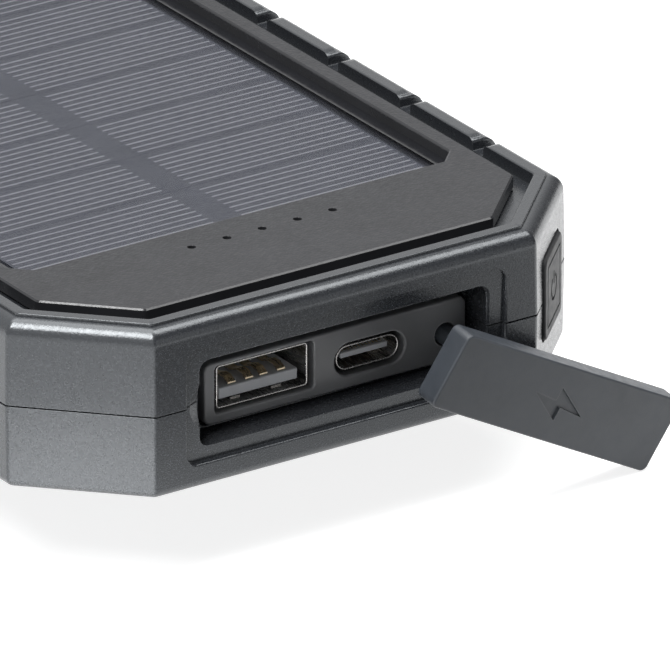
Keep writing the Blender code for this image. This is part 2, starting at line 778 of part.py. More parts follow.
def cover_back():
    """Distance along the turning axis from the port plate to the back of the pulled-out heel."""
    lean = math.cos(math.radians(STEM_LEAN)) * math.cos(math.radians(STEM_YAW))
    return PULL_OUT + (PORT_FACE - COVER_SINK - COVER_THICK - HEEL_THICK) / lean


def cover_ring(inset, z):
    span = rectangle(COVER_LENGTH / 2 - inset, COVER_HEIGHT / 2 - inset, (COVER_LENGTH / 2, 0.0))
    return level(rounded(span, COVER_ROUND - inset / 2, 2), z)


def power_button():
    """Proud cap with a flange behind the wall and a short post for the switch."""
    cap = (BUTTON_WIDTH / 2, BUTTON_HEIGHT / 2)
    back = -WALL - CLEAR
    flange = rectangle(cap[0] + BUTTON_FLANGE, cap[1] + BUTTON_FLANGE)
    face = rectangle(*cap)
    eased = rectangle(cap[0] - BUTTON_EDGE, cap[1] - BUTTON_EDGE)
    button = part("power_button", loft([
        level(rounded(flange, BUTTON_ROUND, 3), back - BUTTON_FLANGE),
        level(rounded(flange, BUTTON_ROUND, 3), back),
        level(rounded(face, BUTTON_ROUND, 3), back),
        level(rounded(face, BUTTON_ROUND, 3), BUTTON_PROUD - BUTTON_EDGE),
        level(rounded(eased, BUTTON_ROUND - BUTTON_EDGE, 3), BUTTON_PROUD),
    ]), CASE_PLASTIC)
    button.matrix_world = corner_frame()
    heel = back - BUTTON_FLANGE
    post = cutter("button_post", block((0, 0, heel), (POST_WIDTH, POST_WIDTH, 2 * POST_LENGTH)))
    post.matrix_world = corner_frame()
    fuse(button, post)
    tip = heel - POST_LENGTH - CLEAR
    plunger = part("switch_plunger", rod((0, 0, tip), (0, 0, tip - PLUNGER_LENGTH), PLUNGER_RADIUS, 16), CHIP)
    plunger.matrix_world = corner_frame()
    face_of_switch = tip - BUTTON_TRAVEL - CLEAR
    half_height = PARTING_Z - SEAT_Z
    switch = part("tact_switch", box(
        (-SWITCH_WIDTH / 2, -half_height, face_of_switch - SWITCH_DEPTH),
        (SWITCH_WIDTH / 2, half_height, face_of_switch)), CHIP)
    bore_end = tip - PLUNGER_LENGTH - BUTTON_TRAVEL - CLEAR
    bore = cutter("switch_bore", rod((0, 0, tip), (0, 0, bore_end), PLUNGER_RADIUS + CLEAR, 16))
    for obj in (switch, bore):
        obj.matrix_world = corner_frame()
    carve(switch, bore)


def main_board():
    front, rear = behind(BOARD_SETBACK), behind(BOARD_REAR)
    line = FRONT_FLAT / 2 - BOARD_CORNER
    cut = line + BOARD_SETBACK
    side = behind(BOARD_HALF_WIDTH - line)
    outline = [
        (-cut, front),
        (cut, front),
        (BOARD_HALF_WIDTH, side),
        (BOARD_HALF_WIDTH, rear),
        (-BOARD_HALF_WIDTH, rear),
        (-BOARD_HALF_WIDTH, side),
    ]
    part("main_board", prism(outline, BOARD_Z, BOARD_TOP), CIRCUIT_BOARD)


def standing(place, size):
    """Box standing on the main board."""
    x, y = place
    return block((x, behind(y), SEAT_Z + size[2] / 2), size)


def board_parts():
    part("charge_controller", standing(CHIP_PLACE, CHIP_SIZE), CHIP)
    part("inductor", standing(COIL_PLACE, COIL_SIZE), FERRITE)
    for k, (x, y) in enumerate(CAPACITOR_PLACES):
        foot = Vector((x, behind(y), SEAT_Z))
        top = foot + Vector((0, 0, CAPACITOR_HEIGHT))
        part(f"capacitor_{k + 1}", rod(foot, top, CAPACITOR_RADIUS), STEEL)
    for k, x in enumerate(light_places()):
        part(f"charge_light_{k + 1}", standing((x, LIGHT_SETBACK), LAMP_SIZE), LAMP)


def light_guide():
    """Five columns from the lamps up into the pinholes, joined by a bar under the deck."""
    y = behind(LIGHT_SETBACK)
    foot = SEAT_Z + LAMP_SIZE[2] + CLEAR
    bar_top = DECK_UNDER - CLEAR
    reach = light_places()[-1] + GUIDE_BAR
    guide = part("light_guide", box(
        (-reach, y - GUIDE_BAR / 2, bar_top - GUIDE_BAR), (reach, y + GUIDE_BAR / 2, bar_top)), CLEAR_PLASTIC)
    legs = [rod((x, y, foot), (x, y, DECK_Z), GUIDE_RADIUS, 12) for x in light_places()]
    tip = PLATE_Z + PLATE_THICK - CLEAR
    pins = [rod((x, y, DECK_Z - 0.5), (x, y, tip), GUIDE_TIP_RADIUS, 8) for x in light_places()]
    fuse(guide, cutter("guide_legs", merge(legs)), cutter("guide_tips", merge(pins)))


def pouch(name, low):
    half_x, half_y = CELL_WIDTH / 2, CELL_LENGTH / 2
    middle = (0.0, behind(BATTERY_SETBACK) + half_y)
    rings = []
    for z, inset in ((0, 0.5), (POUCH_ROUND, 0), (POUCH_THICK - POUCH_ROUND, 0), (POUCH_THICK, 0.5)):
        outline = rounded(rectangle(half_x - inset, half_y - inset, middle), POUCH_ROUND, 2)
        rings.append(level(outline, low + z))
    part(name, loft(rings), POUCH)


def battery():
    low = FLOOR + CLEAR
    pouch("battery_lower", low)
    pad = low + POUCH_THICK + CLEAR
    half = (CELL_WIDTH / 2 - PAD_INSET, CELL_LENGTH / 2 - PAD_INSET)
    middle = (0.0, behind(BATTERY_SETBACK) + CELL_LENGTH / 2)
    part("battery_pad", prism(rectangle(*half, middle), pad, pad + PAD_THICK), FOAM)
    pouch("battery_upper", pad + PAD_THICK + CLEAR)


def tube(name, path, finish, roundness=2):
    """Round rod along a path of points, each with its own radius."""
    curve = bpy.data.curves.new(name, "CURVE")
    curve.dimensions = "3D"
    curve.bevel_depth = MM
    curve.bevel_resolution = roundness
    curve.use_fill_caps = True
    spline = curve.splines.new("POLY")
    spline.points.add(len(path) - 1)
    for node, (point, radius) in zip(spline.points, path):
        node.co = (*(point * MM), 1.0)
        node.radius = radius
    curve.materials.append(finish)
    rod_object = bpy.data.objects.new(name, curve)
    PARTS.objects.link(rod_object)
    return rod_object


def lead(name, points, finish):
    """Wire along a smooth run through a few points."""
    path = smooth_path([Vector(p) for p in points], 4)
    return tube(name, [(point, LEAD_RADIUS) for point in path], finish)


def smooth_path(points, steps):
    """Points of a smooth curve through the given ones."""
    ends = [points[0] * 2 - points[1]] + points + [points[-1] * 2 - points[-2]]
    path = []
    for a, b, c, d in zip(ends, ends[1:], ends[2:], ends[3:]):
        for k in range(steps):
            t = k / steps
            path.append(0.5 * (2 * b + (c - a) * t + (2 * a - 5 * b + 4 * c - d) * t * t
                               + (3 * b - a - 3 * c + d) * t ** 3))
    return path + [points[-1]]


def leads():
    seat = SEAT_Z
    finishes = (RED_LEAD, BLACK_LEAD)
    under = PANEL_Z - CLEAR
    y = behind(BOARD_REAR)
    for (name, x), finish in zip(PANEL_LEADS, finishes):
        bend = (under + seat) / 2
        run = [(x, y, under), (x, y + 0.3, bend + 3), (x, y - 1.6, bend - 3), (x, y - 1.3, seat)]
        lead(name, run, finish)
    start = behind(BATTERY_SETBACK) - CLEAR
    height = FLOOR + CLEAR + POUCH_THICK - POUCH_ROUND - LEAD_RADIUS
    for (name, x), finish in zip(BATTERY_LEADS, finishes):
        run = [(start, height), (start - 1.2, height + 0.4), (start - 2.6, height), (start - 3.0, seat)]
        lead(name, [(x, *point) for point in run], finish)


def case_screws():
    """Countersunk-level pan heads in the bottom, biting into the upper bosses."""
    tip = PARTING_Z + SCREW_BITE
    neck = SCREW_SINK + SCREW_HEAD
    for k, (x, y) in enumerate(screw_places()):
        radii = [
            (SCREW_SINK, SCREW_HEAD_RADIUS - 0.3),
            (SCREW_SINK + 0.3, SCREW_HEAD_RADIUS),
            (neck, SCREW_HEAD_RADIUS),
            (neck, SCREW_RADIUS),
            (tip, SCREW_RADIUS),
        ]
        part(f"case_screw_{k + 1}", loft([circle(x, y, z, r, 12) for z, r in radii]), STEEL)


def circle(x, y, z, radius, sides):
    turns = [2 * math.pi * k / sides for k in range(sides)]
    return [(x + radius * math.cos(a), y + radius * math.sin(a), z) for a in turns]


def cover_stem():
    """Round rubber stem: a retaining head behind the port plate and a bend out to the cover."""
    back = -(CAVITY_FRONT + CLEAR + FLANGE_THICK + CLEAR - PORT_FACE)
    end = cover_back() + STEM_BITE
    start, finish = stem_point(STEM_STRAIGHT), turn_point(end - STEM_STRAIGHT)
    path = [(stem_point(back - STEM_HEAD_THICK), STEM_HEAD_RADIUS), (stem_point(back), STEM_HEAD_RADIUS)]
    path += [(stem_point(back + 0.05), STEM_RADIUS)]
    for k in range(9):
        t = k / 8
        ease = t * t * (3 - 2 * t)
        straight = stem_point(STEM_STRAIGHT + (finish - start).length * t)
        offset = turn_point(0) - stem_point(0)
        path.append((straight + offset * ease, STEM_RADIUS))
    path.append((turn_point(end), STEM_RADIUS))
    tube("cover_stem", path, SOFT_RUBBER, 4)


def build():
    shared = recess_cutters() + [button_opening()]
    upper_shell(shared)
    lower_shell(shared)
    face_plate()
    solar_panel()
    port_plate()
    usb_a()
    usb_c()
    cover_stem()
    port_cover()
    power_button()
    main_board()
    board_parts()
    light_guide()
    battery()
    leads()
    case_screws()


build()
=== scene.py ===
"""Looks of the solar phone charger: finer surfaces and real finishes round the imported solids.

X runs across the width, Y from the port end to the back, and Z is up.
Sizes are millimetres until a mesh is made.
"""

import math
from functools import partial

import bmesh
import bpy
from mathutils import Matrix, Vector


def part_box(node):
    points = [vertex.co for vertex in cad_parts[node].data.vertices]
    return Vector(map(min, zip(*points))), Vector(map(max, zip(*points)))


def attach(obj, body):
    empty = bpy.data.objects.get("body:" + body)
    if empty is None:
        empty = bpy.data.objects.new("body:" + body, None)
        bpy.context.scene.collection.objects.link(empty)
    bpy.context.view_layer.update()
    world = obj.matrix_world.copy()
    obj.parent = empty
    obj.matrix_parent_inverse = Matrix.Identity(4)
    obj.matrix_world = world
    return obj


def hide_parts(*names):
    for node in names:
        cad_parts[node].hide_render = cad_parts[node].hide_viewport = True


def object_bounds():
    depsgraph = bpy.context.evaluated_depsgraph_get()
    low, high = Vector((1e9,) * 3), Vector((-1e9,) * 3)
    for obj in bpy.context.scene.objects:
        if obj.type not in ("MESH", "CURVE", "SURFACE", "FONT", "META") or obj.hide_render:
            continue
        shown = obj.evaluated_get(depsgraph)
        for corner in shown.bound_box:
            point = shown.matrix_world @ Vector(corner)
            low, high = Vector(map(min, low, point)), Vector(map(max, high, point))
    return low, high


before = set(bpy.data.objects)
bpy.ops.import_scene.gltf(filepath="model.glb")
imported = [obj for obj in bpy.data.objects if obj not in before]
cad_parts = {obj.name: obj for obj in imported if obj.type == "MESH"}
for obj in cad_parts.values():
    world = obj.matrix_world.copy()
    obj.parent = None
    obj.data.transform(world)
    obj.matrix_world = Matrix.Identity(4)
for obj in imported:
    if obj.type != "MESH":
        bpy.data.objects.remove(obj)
CAD_BOX = [list(corner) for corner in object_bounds()]
MM = 0.001

# Case
LENGTH = 162.0
FRONT_FLAT = 54.0
CORNER_LEG = 12.7
WIDTH = FRONT_FLAT + 2 * CORNER_LEG
CORNER_ROUND = 0.8
CORNER_STEPS = 6
CROWN_Z = 21.4
PARTING_Z = 10.65
PARTING_GAP = 0.16
PARTING_EASE = 0.1
DRAFT = math.tan(math.radians(1.0))
TOP_FILLET = 2.1
BOTTOM_FILLET = 1.2
WALL = 2.2
FLOOR = 1.8
CLEAR = 0.3
LEAST_ROUND = 0.05
GUIDE_RADIUS = 1.2

# How far a cutting tool reaches past what it cuts
OVERCUT = 1.0

# Rim, groove, deck and side rails
RIM_Z = 21.75
RIM_INSET = 3.6
RIM_EDGE = 0.22
RIM_OUTER_EDGE = 0.1
DECK_Z = 20.0
DECK_UNDER = 18.2
NOTCH_COUNT = 8
NOTCH_FIRST = 26.05
NOTCH_PITCH = (LENGTH - 2 * NOTCH_FIRST) / (NOTCH_COUNT - 1)
NOTCH_WIDTH = 2.2
NOTCH_DEPTH = 1.7
NOTCH_SHOULDER = (2.0, 0.75)
NOTCH_FOOT = (0.25, 0.07)
NOTCH_SKIM = 0.02

# Face plate and solar panel
PLATE_INSET = 5.85
PLATE_Z = 20.3
PLATE_TOP = 21.84
PLATE_BEVEL = (0.21, 0.17)
WINDOW = (31.45, 57.85)
WINDOW_CORNER = 2.3
WINDOW_ROUND = 0.3
WINDOW_LIP = 0.36
LIGHT_XS = (-10.0, -5.0, 0.0, 5.0, 10.0)
LIGHT_SETBACK = 18.3
PINHOLE = 1.0
PINHOLE_LIP = 0.08
PANEL_POCKET = (32.75, 59.15)
PANEL_ROOM = (30.75, 57.15)
PANEL_LEDGE_Z = 18.7
CELL_TOP = 20.05
CELL_COUNT = 10
CELL_PITCH = 11.325
CELL_FRONT = 2.15
JOINT_SINK = 0.02
LINES_PER_CELL = 8
LINE_PITCH = 1.29
LINE_WIDTH = 0.27
LINE_CREST = 0.6
LINE_HEIGHT = 0.03
LINE_LIFT = 0.005
LINE_SPANS = ((-28.3, -1.6), (2.4, 28.3))
MARGIN = (29.6, 32.2)
MARGIN_OVERRUN = 0.6
MARGIN_ROUND = 0.2
MARGIN_THICK = 0.02

# Port recess
RECESS = (20.3, 5.5)
RECESS_MIDDLE = (0.0, 10.4)
RECESS_DEPTH = 5.4
RECESS_ROUND = 1.3
RECESS_LIP = 0.28
RECESS_FOOT = 0.3
REBATE = (22.5, 7.45)
REBATE_MIDDLE = (0.0, 10.6)
REBATE_DEPTH = 0.72
REBATE_TILT = 0.045
REBATE_ROUND = 1.6
REBATE_START = 0.1
REBATE_LIP = 0.24
SCOOP_REACH = 1.5
SCOOP_HEIGHT = 5.8
SCOOP_FALL = (2.2, 1.2)
SCOOP_MOUTH = (-0.3, 0.15)
SCOOP_SIDES = 96
CAVITY_FRONT = 7.0
CAVITY_CHEEK = 24.5

# Ports
PORT_PLATE = (18.55, 3.95)
PORT_PLATE_MIDDLE = (1.35, 9.35)
PORT_PLATE_ROUND = 1.0
PORT_OPENING_LIP = 0.15
PORT_FACE = 4.6
PORT_EDGE = 0.3
FLANGE_LIP = 1.3
FLANGE_THICK = 0.8
PORT_GAP = (0.5, 0.25)
METAL = 0.22
SHELL_FRONT = 5.2
USB_A = (12.5, 5.12)
USB_A_MIDDLE = (-8.702, 9.7)
USB_A_DEPTH = 12.0
USB_A_ROUND = (0.5, 0.25)
USB_A_TONGUE = (5.55, 0.7)
USB_A_TONGUE_LIFT = 0.55
USB_A_TONGUE_EDGE = (0.12, 0.2)
USB_A_TONGUE_BACK = 0.8
SPRING_XS = (-2.9, 2.9)
SPRING_HALF = 0.7
SPRING_RUN = (1.4, 4.6)
SPRING_BOW = (0.04, 0.3)
SPRING_SKIN = (0.02, 0.1)
USB_C = (8.94, 3.16)
USB_C_MIDDLE = (6.22, 9.1)
USB_C_DEPTH = 7.3
USB_C_END_FLAT = 0.02
USB_C_TONGUE = (3.35, 0.35)
USB_C_TONGUE_EDGE = (0.15, 0.15)
USB_C_TONGUE_BACK = 0.7
USB_C_FOOT = 0.6
USB_C_FOOT_BACK = 1.8
USB_C_FOOT_BITE = 0.15
USB_C_FOOT_LOW = 6.9
PAD_COUNT = 12
PAD_PITCH = 0.5
PAD_HALF = 0.13
PAD_RISE = 0.36
PAD_THICK = 0.03
PAD_RUN = (0.5, 3.5)
EDGE_STEPS = 8

# Cover and stem
COVER = (38.7, 9.8, 3.3)
COVER_Z = 10.85
COVER_ROUND = 0.9
COVER_EDGE = 0.3
HEEL_LENGTH = 8.2
HEEL_INSET = 1.1
HEEL_THICK = 1.0
HEEL_EDGE = 0.3
COVER_SINK = 0.64
PULL_OUT = 8.6
OPEN_TURN = 150.84
BEND = (-3.18, 0.0, 1.11)
STEM_LEAN = 3.96
STEM_YAW = 2.43
STEM_XZ = (16.896, 9.0)
STEM_RADIUS = 1.2
STEM_STRAIGHT = 2.4
STEM_BITE = 2.2
STEM_HEAD = (2.0, 1.2)
STEM_HEAD_EDGE = (0.3, 0.1)
STEM_NECK = 0.05
STEM_STEPS = 24
BOLT = ((4.6, -0.7), (-0.6, 2.1), (-0.6, 0.35))
BOLT_SINK = 0.3

# Power button
BUTTON = (5.2, 5.3)
BUTTON_ROUND = 1.2
BUTTON_PROUD = 0.35
BUTTON_EDGE = 0.35
BUTTON_FLANGE = 0.8
BUTTON_POST = (1.5, 0.5)
BUTTON_HOLE_LIP = 0.2
GROOVE = (1.25, 1.55)
GROOVE_DEPTH = 0.15
MARK_RING = (1.3, 1.75)
MARK_DEGREES = range(125, 416, 10)
MARK_BAR = (0.22, 0.85)
MARK_BAR_RISE = 1.15
MARK_DEPTH = 0.2

# Screws
SCREW_PLACES = [(x, y) for x in (-33.8, 33.8) for y in (-50.0, 50.0)]
SCREW_SINK = 0.4
SCREW_HEAD = (1.9, 1.4)
SCREW_RADIUS = 0.85
SCREW_TIP = 16.65
SCREW_POINT = (0.4, 0.35)
SCREW_CROWN = (0.45, 0.6)
SCREW_CROSS = (1.0, 0.2)
SCREW_CROSS_DEPTH = 0.75
SCREW_SIDES = 40
SINK_LIP = 0.2
BOSS_RADIUS = 3.0
BOSS_BITE = 0.9

# Camera, from the photograph
CAMERA_TURN = math.radians(33.633)
CAMERA_RISE = math.radians(23.8826)
CAMERA_DISTANCE = 1.938
CAMERA_LENS = 879.6
CAMERA_TARGET = Vector((0.0, -0.071, 0.010))
CAMERA_OFFSET = (0.00402, 0.00096)
SENSOR = 36.0
CLIP = (0.05, 20.0)

# Lamps: name, place, point faced, size and watts; the one without a size is a spot
LIT_POINT = (0.0, -0.04, 0.01)
LAMPS = (
    ("key_softbox", (0.0, 0.17, 0.97), LIT_POINT, (0.6, 0.6), 4.2),
    ("top_softbox", (0.45, -0.1, 0.9), LIT_POINT, (0.5, 0.5), 4.6),
    ("left_softbox", (-0.417, -0.24, 0.772), LIT_POINT, (0.24, 0.5), 6.6),
    ("left_spot", (-0.3, -0.17, 0.5), (-0.054, -0.089, -0.0115), None, 74.0),
    ("front_fill", (0.35, -1.1, 0.35), LIT_POINT, (0.5, 0.5), 0.7),
)
SPOT_CONE = math.radians(4.4)
SPOT_BLEND = 0.3
SPOT_SOFTNESS = 0.01

# Room light: its darker side, how it falls off towards there, and its level by diffuse and mirrored rays
ROOM_SIDE = (0.75, -0.66, 0.0)
ROOM_REACH = (-0.05, 0.45)
ROOM_LEVEL = (1.0, 0.15)
RAY_LEVEL = (0.3, 1.0)

# Floor: the spot where it mirrors least, a painted shade spot that is darker and glows nothing in reflections
# so that faces mirroring it look shaded, and how its glow and colour change round there
PAINTED_SHADE_SPOT = (0.014, -0.18, 0.0)
PAINTED_SHADE_REACH = (0.055, 0.09)
PAINTED_REFLECTION_GLOW = (0.88, 1.0)
PAINTED_REFLECTION_REACH = (0.12, 0.15)
FLOOR_GLOW = (0.92, 0.82)
FLOOR_PAINTED_SHADE = (0.24, 0.24, 0.24)
FLOOR_PALE = (0.51, 0.51, 0.51)
FLOOR_HALF = 4.0
FLOOR_CELLS = 8
FLOOR_DROP = 0.0001

# Finishes: where edges and slopes begin, the grain that slopes keep, and measures that recipes share
EDGE_RANGE = (0.8, 0.99)
SLOPE_RANGE = (0.92, 0.99)
SLOPE_GRAIN = 0.1
CLOUD = 9.0
# How much lighter moulded edges are painted; on the port tongues a painted highlight
EDGE_LIGHTENING_TINT = 2.6
GLOSS_SPREAD = 0.06
BRUSHED_SPREAD = 0.08


def behind(distance):
    """Y of a plane a distance behind the front face."""
    return distance - LENGTH / 2


# Mesh making


def rounded(corners, radius, steps):
    """Convex outline, listed counter-clockwise, with each corner turned to an arc."""
    outline = []
    for i, point in enumerate(corners):
        corner = Vector(point)
        to_last = (Vector(corners[i - 1]) - corner).normalized()
        to_next = (Vector(corners[(i + 1) % len(corners)]) - corner).normalized()
        half = to_last.angle(to_next) / 2
        centre = corner + (to_last + to_next).normalized() * (radius / math.sin(half))
        start = corner + to_last * (radius / math.tan(half)) - centre
        for k in range(steps + 1):
            turn = Matrix.Rotation((math.pi - 2 * half) * k / steps, 2)
            outline.append(centre + turn @ start)
    return outline


def rectangle(half_x, half_y, centre=(0.0, 0.0)):
    x, y = centre
    return [(x + i * half_x, y + j * half_y) for i, j in ((-1, -1), (1, -1), (1, 1), (-1, 1))]


def chamfered(half_x, half_y, leg):
    """Rectangle about the origin with cut corners."""
    return [
        (-half_x + leg, -half_y),
        (half_x - leg, -half_y),
        (half_x, -half_y + leg),
        (half_x, half_y - leg),
        (half_x - leg, half_y),
        (-half_x + leg, half_y),
        (-half_x, half_y - leg),
        (-half_x, -half_y + leg),
    ]


def octagon(inset):
    """The case outline, drawn in by a distance on every side."""
    leg = CORNER_LEG - inset * (2 - math.sqrt(2))
    return chamfered(WIDTH / 2 - inset, LENGTH / 2 - inset, leg)


def level(outline, z):
    return [(x, y, z) for x, y in outline]


def facing(outline, y):
    """Outline in X and Z on a plane across the length."""
    return [(x, y, z) for x, z in outline]


def case_ring(z, inset):
    return level(rounded(octagon(inset), CORNER_ROUND, CORNER_STEPS), z)


def quarter(radius, steps):
    """Rise and inset of a quarter round, from upright to flat."""
    angles = [math.radians(90 * k / steps) for k in range(steps + 1)]
    return [(radius * math.sin(a), radius * (1 - math.cos(a))) for a in angles]


def circle(x, y, radius, sides=32):
    turns = [2 * math.pi * k / sides for k in range(sides)]
    return [(x + radius * math.cos(a), y + radius * math.sin(a)) for a in turns]


def circle_grown(x, y, radius, sides, grow):
    return circle(x, y, radius + grow, sides)


def baked(mesh, name):
    """Mesh data made from a working mesh, which is freed."""
    data = bpy.data.meshes.new(name)
    mesh.to_mesh(data)
    mesh.free()
    return data


def added(name, data):
    """New object in the scene."""
    obj = bpy.data.objects.new(name, data)
    bpy.context.scene.collection.objects.link(obj)
    return obj


def loft(rings):
    """Closed skin through rings of equal count, capped at both ends."""
    mesh = bmesh.new()
    rows = [[mesh.verts.new(Vector(point) * MM) for point in ring] for ring in rings]
    for low, high in zip(rows, rows[1:]):
        for i, corner in enumerate(low):
            j = (i + 1) % len(low)
            mesh.faces.new((corner, low[j], high[j], high[i]))
    mesh.faces.new(rows[0])
    mesh.faces.new(rows[-1])
    bmesh.ops.recalc_face_normals(mesh, faces=mesh.faces)
    return mesh


def prism(outline, low, high):
    """Flat outline in X and Y between two levels."""
    return loft([level(outline, low), level(outline, high)])


def rod(start, end, radius, sides=32):
    """Cylinder between two points."""
    start, end = Vector(start) * MM, Vector(end) * MM
    run = end - start
    turn = run.to_track_quat("Z", "Y").to_matrix().to_4x4()
    mesh = bmesh.new()
    bmesh.ops.create_cone(
        mesh,
        cap_ends=True,
        segments=sides,
        radius1=radius * MM,
        radius2=radius * MM,
        depth=run.length,
        matrix=Matrix.Translation((start + end) / 2) @ turn,
    )
    return mesh


def merge(meshes):
    """One mesh out of several separate ones."""
    whole = bmesh.new()
    for mesh in meshes:
        data = baked(mesh, "merge")
        whole.from_mesh(data)
        bpy.data.meshes.remove(data)
    return whole


def moved(mesh, matrix):
    bmesh.ops.transform(mesh, matrix=matrix, verts=mesh.verts)
    return mesh


def hole(outline, place, surface, depth, lip, foot=0.0, out=2.0, steps=5):
    """Tool for a hole with a rounded mouth and, where foot is given, a rounded floor.

    outline gives the wall's outline grown by a distance, place puts an outline at a depth,
    and surface is the depth of the face that the hole starts from.
    """
    bend = quarter(1.0, steps)
    rings = [place(outline(lip), surface - out)]
    rings += [place(outline(lip * (1 - rise)), surface + lip * run) for rise, run in bend]
    if foot:
        rings += [place(outline(-foot * run), depth - foot * (1 - rise)) for rise, run in bend]
    else:
        rings.append(place(outline(0.0), depth))
    return loft(rings)


def carved(mesh, cuts=(), joins=(), last_cuts=()):
    """Mesh data after cutting, joining and cutting again."""
    base = added("tool", baked(mesh, "tool"))
    tools = []
    for operation, group in (("DIFFERENCE", cuts), ("UNION", joins), ("DIFFERENCE", last_cuts)):
        for shape in group:
            tool = added("tool", baked(shape, "tool"))
            tools.append(tool)
            modifier = base.modifiers.new("shape", "BOOLEAN")
            modifier.operation = operation
            modifier.object = tool
            modifier.solver = "EXACT"
    graph = bpy.context.evaluated_depsgraph_get()
    data = bpy.data.meshes.new_from_object(base.evaluated_get(graph))
    for obj in [base] + tools:
        spare = obj.data
        bpy.data.objects.remove(obj, do_unlink=True)
        bpy.data.meshes.remove(spare)
    return data


def piece(name, data, finish, body, slot, *nodes, sharp=32):
    """Shown object with smooth rounds and crisp edges, riding on a body in place of its nodes."""
    if isinstance(data, bmesh.types.BMesh):
        data = baked(data, name)
    data.name = name
    data.shade_smooth()
    data.set_sharp_from_angle(angle=math.radians(sharp))
    data.materials.clear()
    data.materials.append(finish)
    obj = added(name, data)
    even = obj.modifiers.new("even_shading", "WEIGHTED_NORMAL")
    even.keep_sharp = True
    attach(obj, body)
    if nodes:
        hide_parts(*nodes)


# Finishes


def math_node(tree, operation, first, second):
    """Result of an operation on two node outputs."""
    node = tree.nodes.new("ShaderNodeMath")
    node.operation = operation
    tree.links.new(first, node.inputs[0])
    tree.links.new(second, node.inputs[1])
    return node.outputs["Value"]


def range_node(tree, value, low, high, start, end):
    """Output that goes from low to high while a value goes from start to end."""
    node = tree.nodes.new("ShaderNodeMapRange")
    for name, number in (("From Min", start), ("From Max", end), ("To Min", low), ("To Max", high)):
        node.inputs[name].default_value = number
    tree.links.new(value, node.inputs["Value"])
    return node.outputs["Result"]


class Finish:
    """Principled material whose colour, roughness and relief come from nodes."""

    def __init__(self, name, roughness, metallic=0.0):
        self.material = bpy.data.materials.new(name)
        self.material.use_nodes = True
        self.tree = self.material.node_tree
        self.nodes, self.links = self.tree.nodes, self.tree.links
        self.shader = self.nodes["Principled BSDF"]
        self.shader.inputs["Roughness"].default_value = roughness
        self.shader.inputs["Metallic"].default_value = metallic
        coordinates = self.nodes.new("ShaderNodeTexCoord").outputs
        self.place, self.normal = coordinates["Object"], coordinates["Normal"]

    def set(self, **values):
        for name, value in values.items():
            self.shader.inputs[name.replace("_", " ")].default_value = value
        return self

    def stretched(self, x, y, z):
        """Object coordinates with each axis scaled, for grain that runs one way."""
        mapping = self.nodes.new("ShaderNodeMapping")
        mapping.inputs["Scale"].default_value = (x, y, z)
        self.links.new(self.place, mapping.inputs["Vector"])
        return mapping.outputs["Vector"]

    def noise(self, size, detail=2.0, place=None):
        """Noise whose features measure about size millimetres."""
        node = self.nodes.new("ShaderNodeTexNoise")
        node.inputs["Scale"].default_value = 1.0 / (size * MM)
        node.inputs["Detail"].default_value = detail
        self.links.new(place or self.place, node.inputs["Vector"])
        return node.outputs["Fac"]

    def cells(self, size, smooth=0.4):
        """Pebbles that measure about size millimetres."""
        node = self.nodes.new("ShaderNodeTexVoronoi")
        node.feature = "SMOOTH_F1"
        node.inputs["Scale"].default_value = 1.0 / (size * MM)
        node.inputs["Smoothness"].default_value = smooth
        self.links.new(self.place, node.inputs["Vector"])
        return node.outputs["Distance"]

    def spread(self, value, low, high, start=0.3, end=0.7):
        """A value spread over another range."""
        return range_node(self.tree, value, low, high, start, end)

    def colour(self, value, dark, light, start=0.3, end=0.7):
        """Base colour that follows a value from dark to light."""
        ramp = self.nodes.new("ShaderNodeValToRGB")
        first, last = ramp.color_ramp.elements
        first.position, last.position = start, end
        first.color, last.color = (*dark, 1.0), (*light, 1.0)
        self.links.new(value, ramp.inputs["Fac"])
        self.links.new(ramp.outputs["Color"], self.shader.inputs["Base Color"])
        return ramp.outputs["Color"]

    def lighter_edges(self, colour, light, radius=0.3, amount=0.5):
        """Edges a little lighter than the faces; on the rubber cover and the port tongues this is a painted
        highlight along the edges.
        """
        bevel = self.nodes.new("ShaderNodeBevel")
        bevel.inputs["Radius"].default_value = radius * MM
        plain = self.nodes.new("ShaderNodeNewGeometry")
        dot = self.nodes.new("ShaderNodeVectorMath")
        dot.operation = "DOT_PRODUCT"
        self.links.new(bevel.outputs["Normal"], dot.inputs[0])
        self.links.new(plain.outputs["Normal"], dot.inputs[1])
        edge = self.spread(dot.outputs["Value"], amount, 0.0, *EDGE_RANGE)
        mix = self.nodes.new("ShaderNodeMix")
        mix.data_type = "RGBA"
        mix.inputs["B"].default_value = (*light, 1.0)
        self.links.new(edge, mix.inputs["Factor"])
        self.links.new(colour, mix.inputs["A"])
        self.links.new(mix.outputs["Result"], self.shader.inputs["Base Color"])

    def rough(self, value, low, high):
        self.links.new(self.spread(value, low, high), self.shader.inputs["Roughness"])

    def polished_slopes(self, roughness):
        """Smoother finish on faces that don't lie level, and the share of grain that each face keeps."""
        split = self.nodes.new("ShaderNodeSeparateXYZ")
        self.links.new(self.normal, split.inputs["Vector"])
        slope = self.spread(split.outputs["Z"], 1.0, 0.0, *SLOPE_RANGE)
        mix = self.nodes.new("ShaderNodeMix")
        mix.inputs["B"].default_value = roughness
        socket = self.shader.inputs["Roughness"]
        self.links.new(slope, mix.inputs["Factor"])
        self.links.new(socket.links[0].from_socket, mix.inputs["A"])
        self.links.new(mix.outputs["Result"], socket)
        return self.spread(slope, 1.0, SLOPE_GRAIN, 0.0, 1.0)

    def relief(self, value, height, strength=1.0):
        """Bump whose relief is height millimetres, over any relief already there."""
        bump = self.nodes.new("ShaderNodeBump")
        if isinstance(strength, float):
            bump.inputs["Strength"].default_value = strength
        else:
            self.links.new(strength, bump.inputs["Strength"])
        bump.inputs["Distance"].default_value = height * MM
        self.links.new(value, bump.inputs["Height"])
        socket = self.shader.inputs["Normal"]
        if socket.is_linked:
            self.links.new(socket.links[0].from_socket, bump.inputs["Normal"])
        self.links.new(bump.outputs["Normal"], socket)


def scaled(colour, factor):
    return tuple(channel * factor for channel in colour)


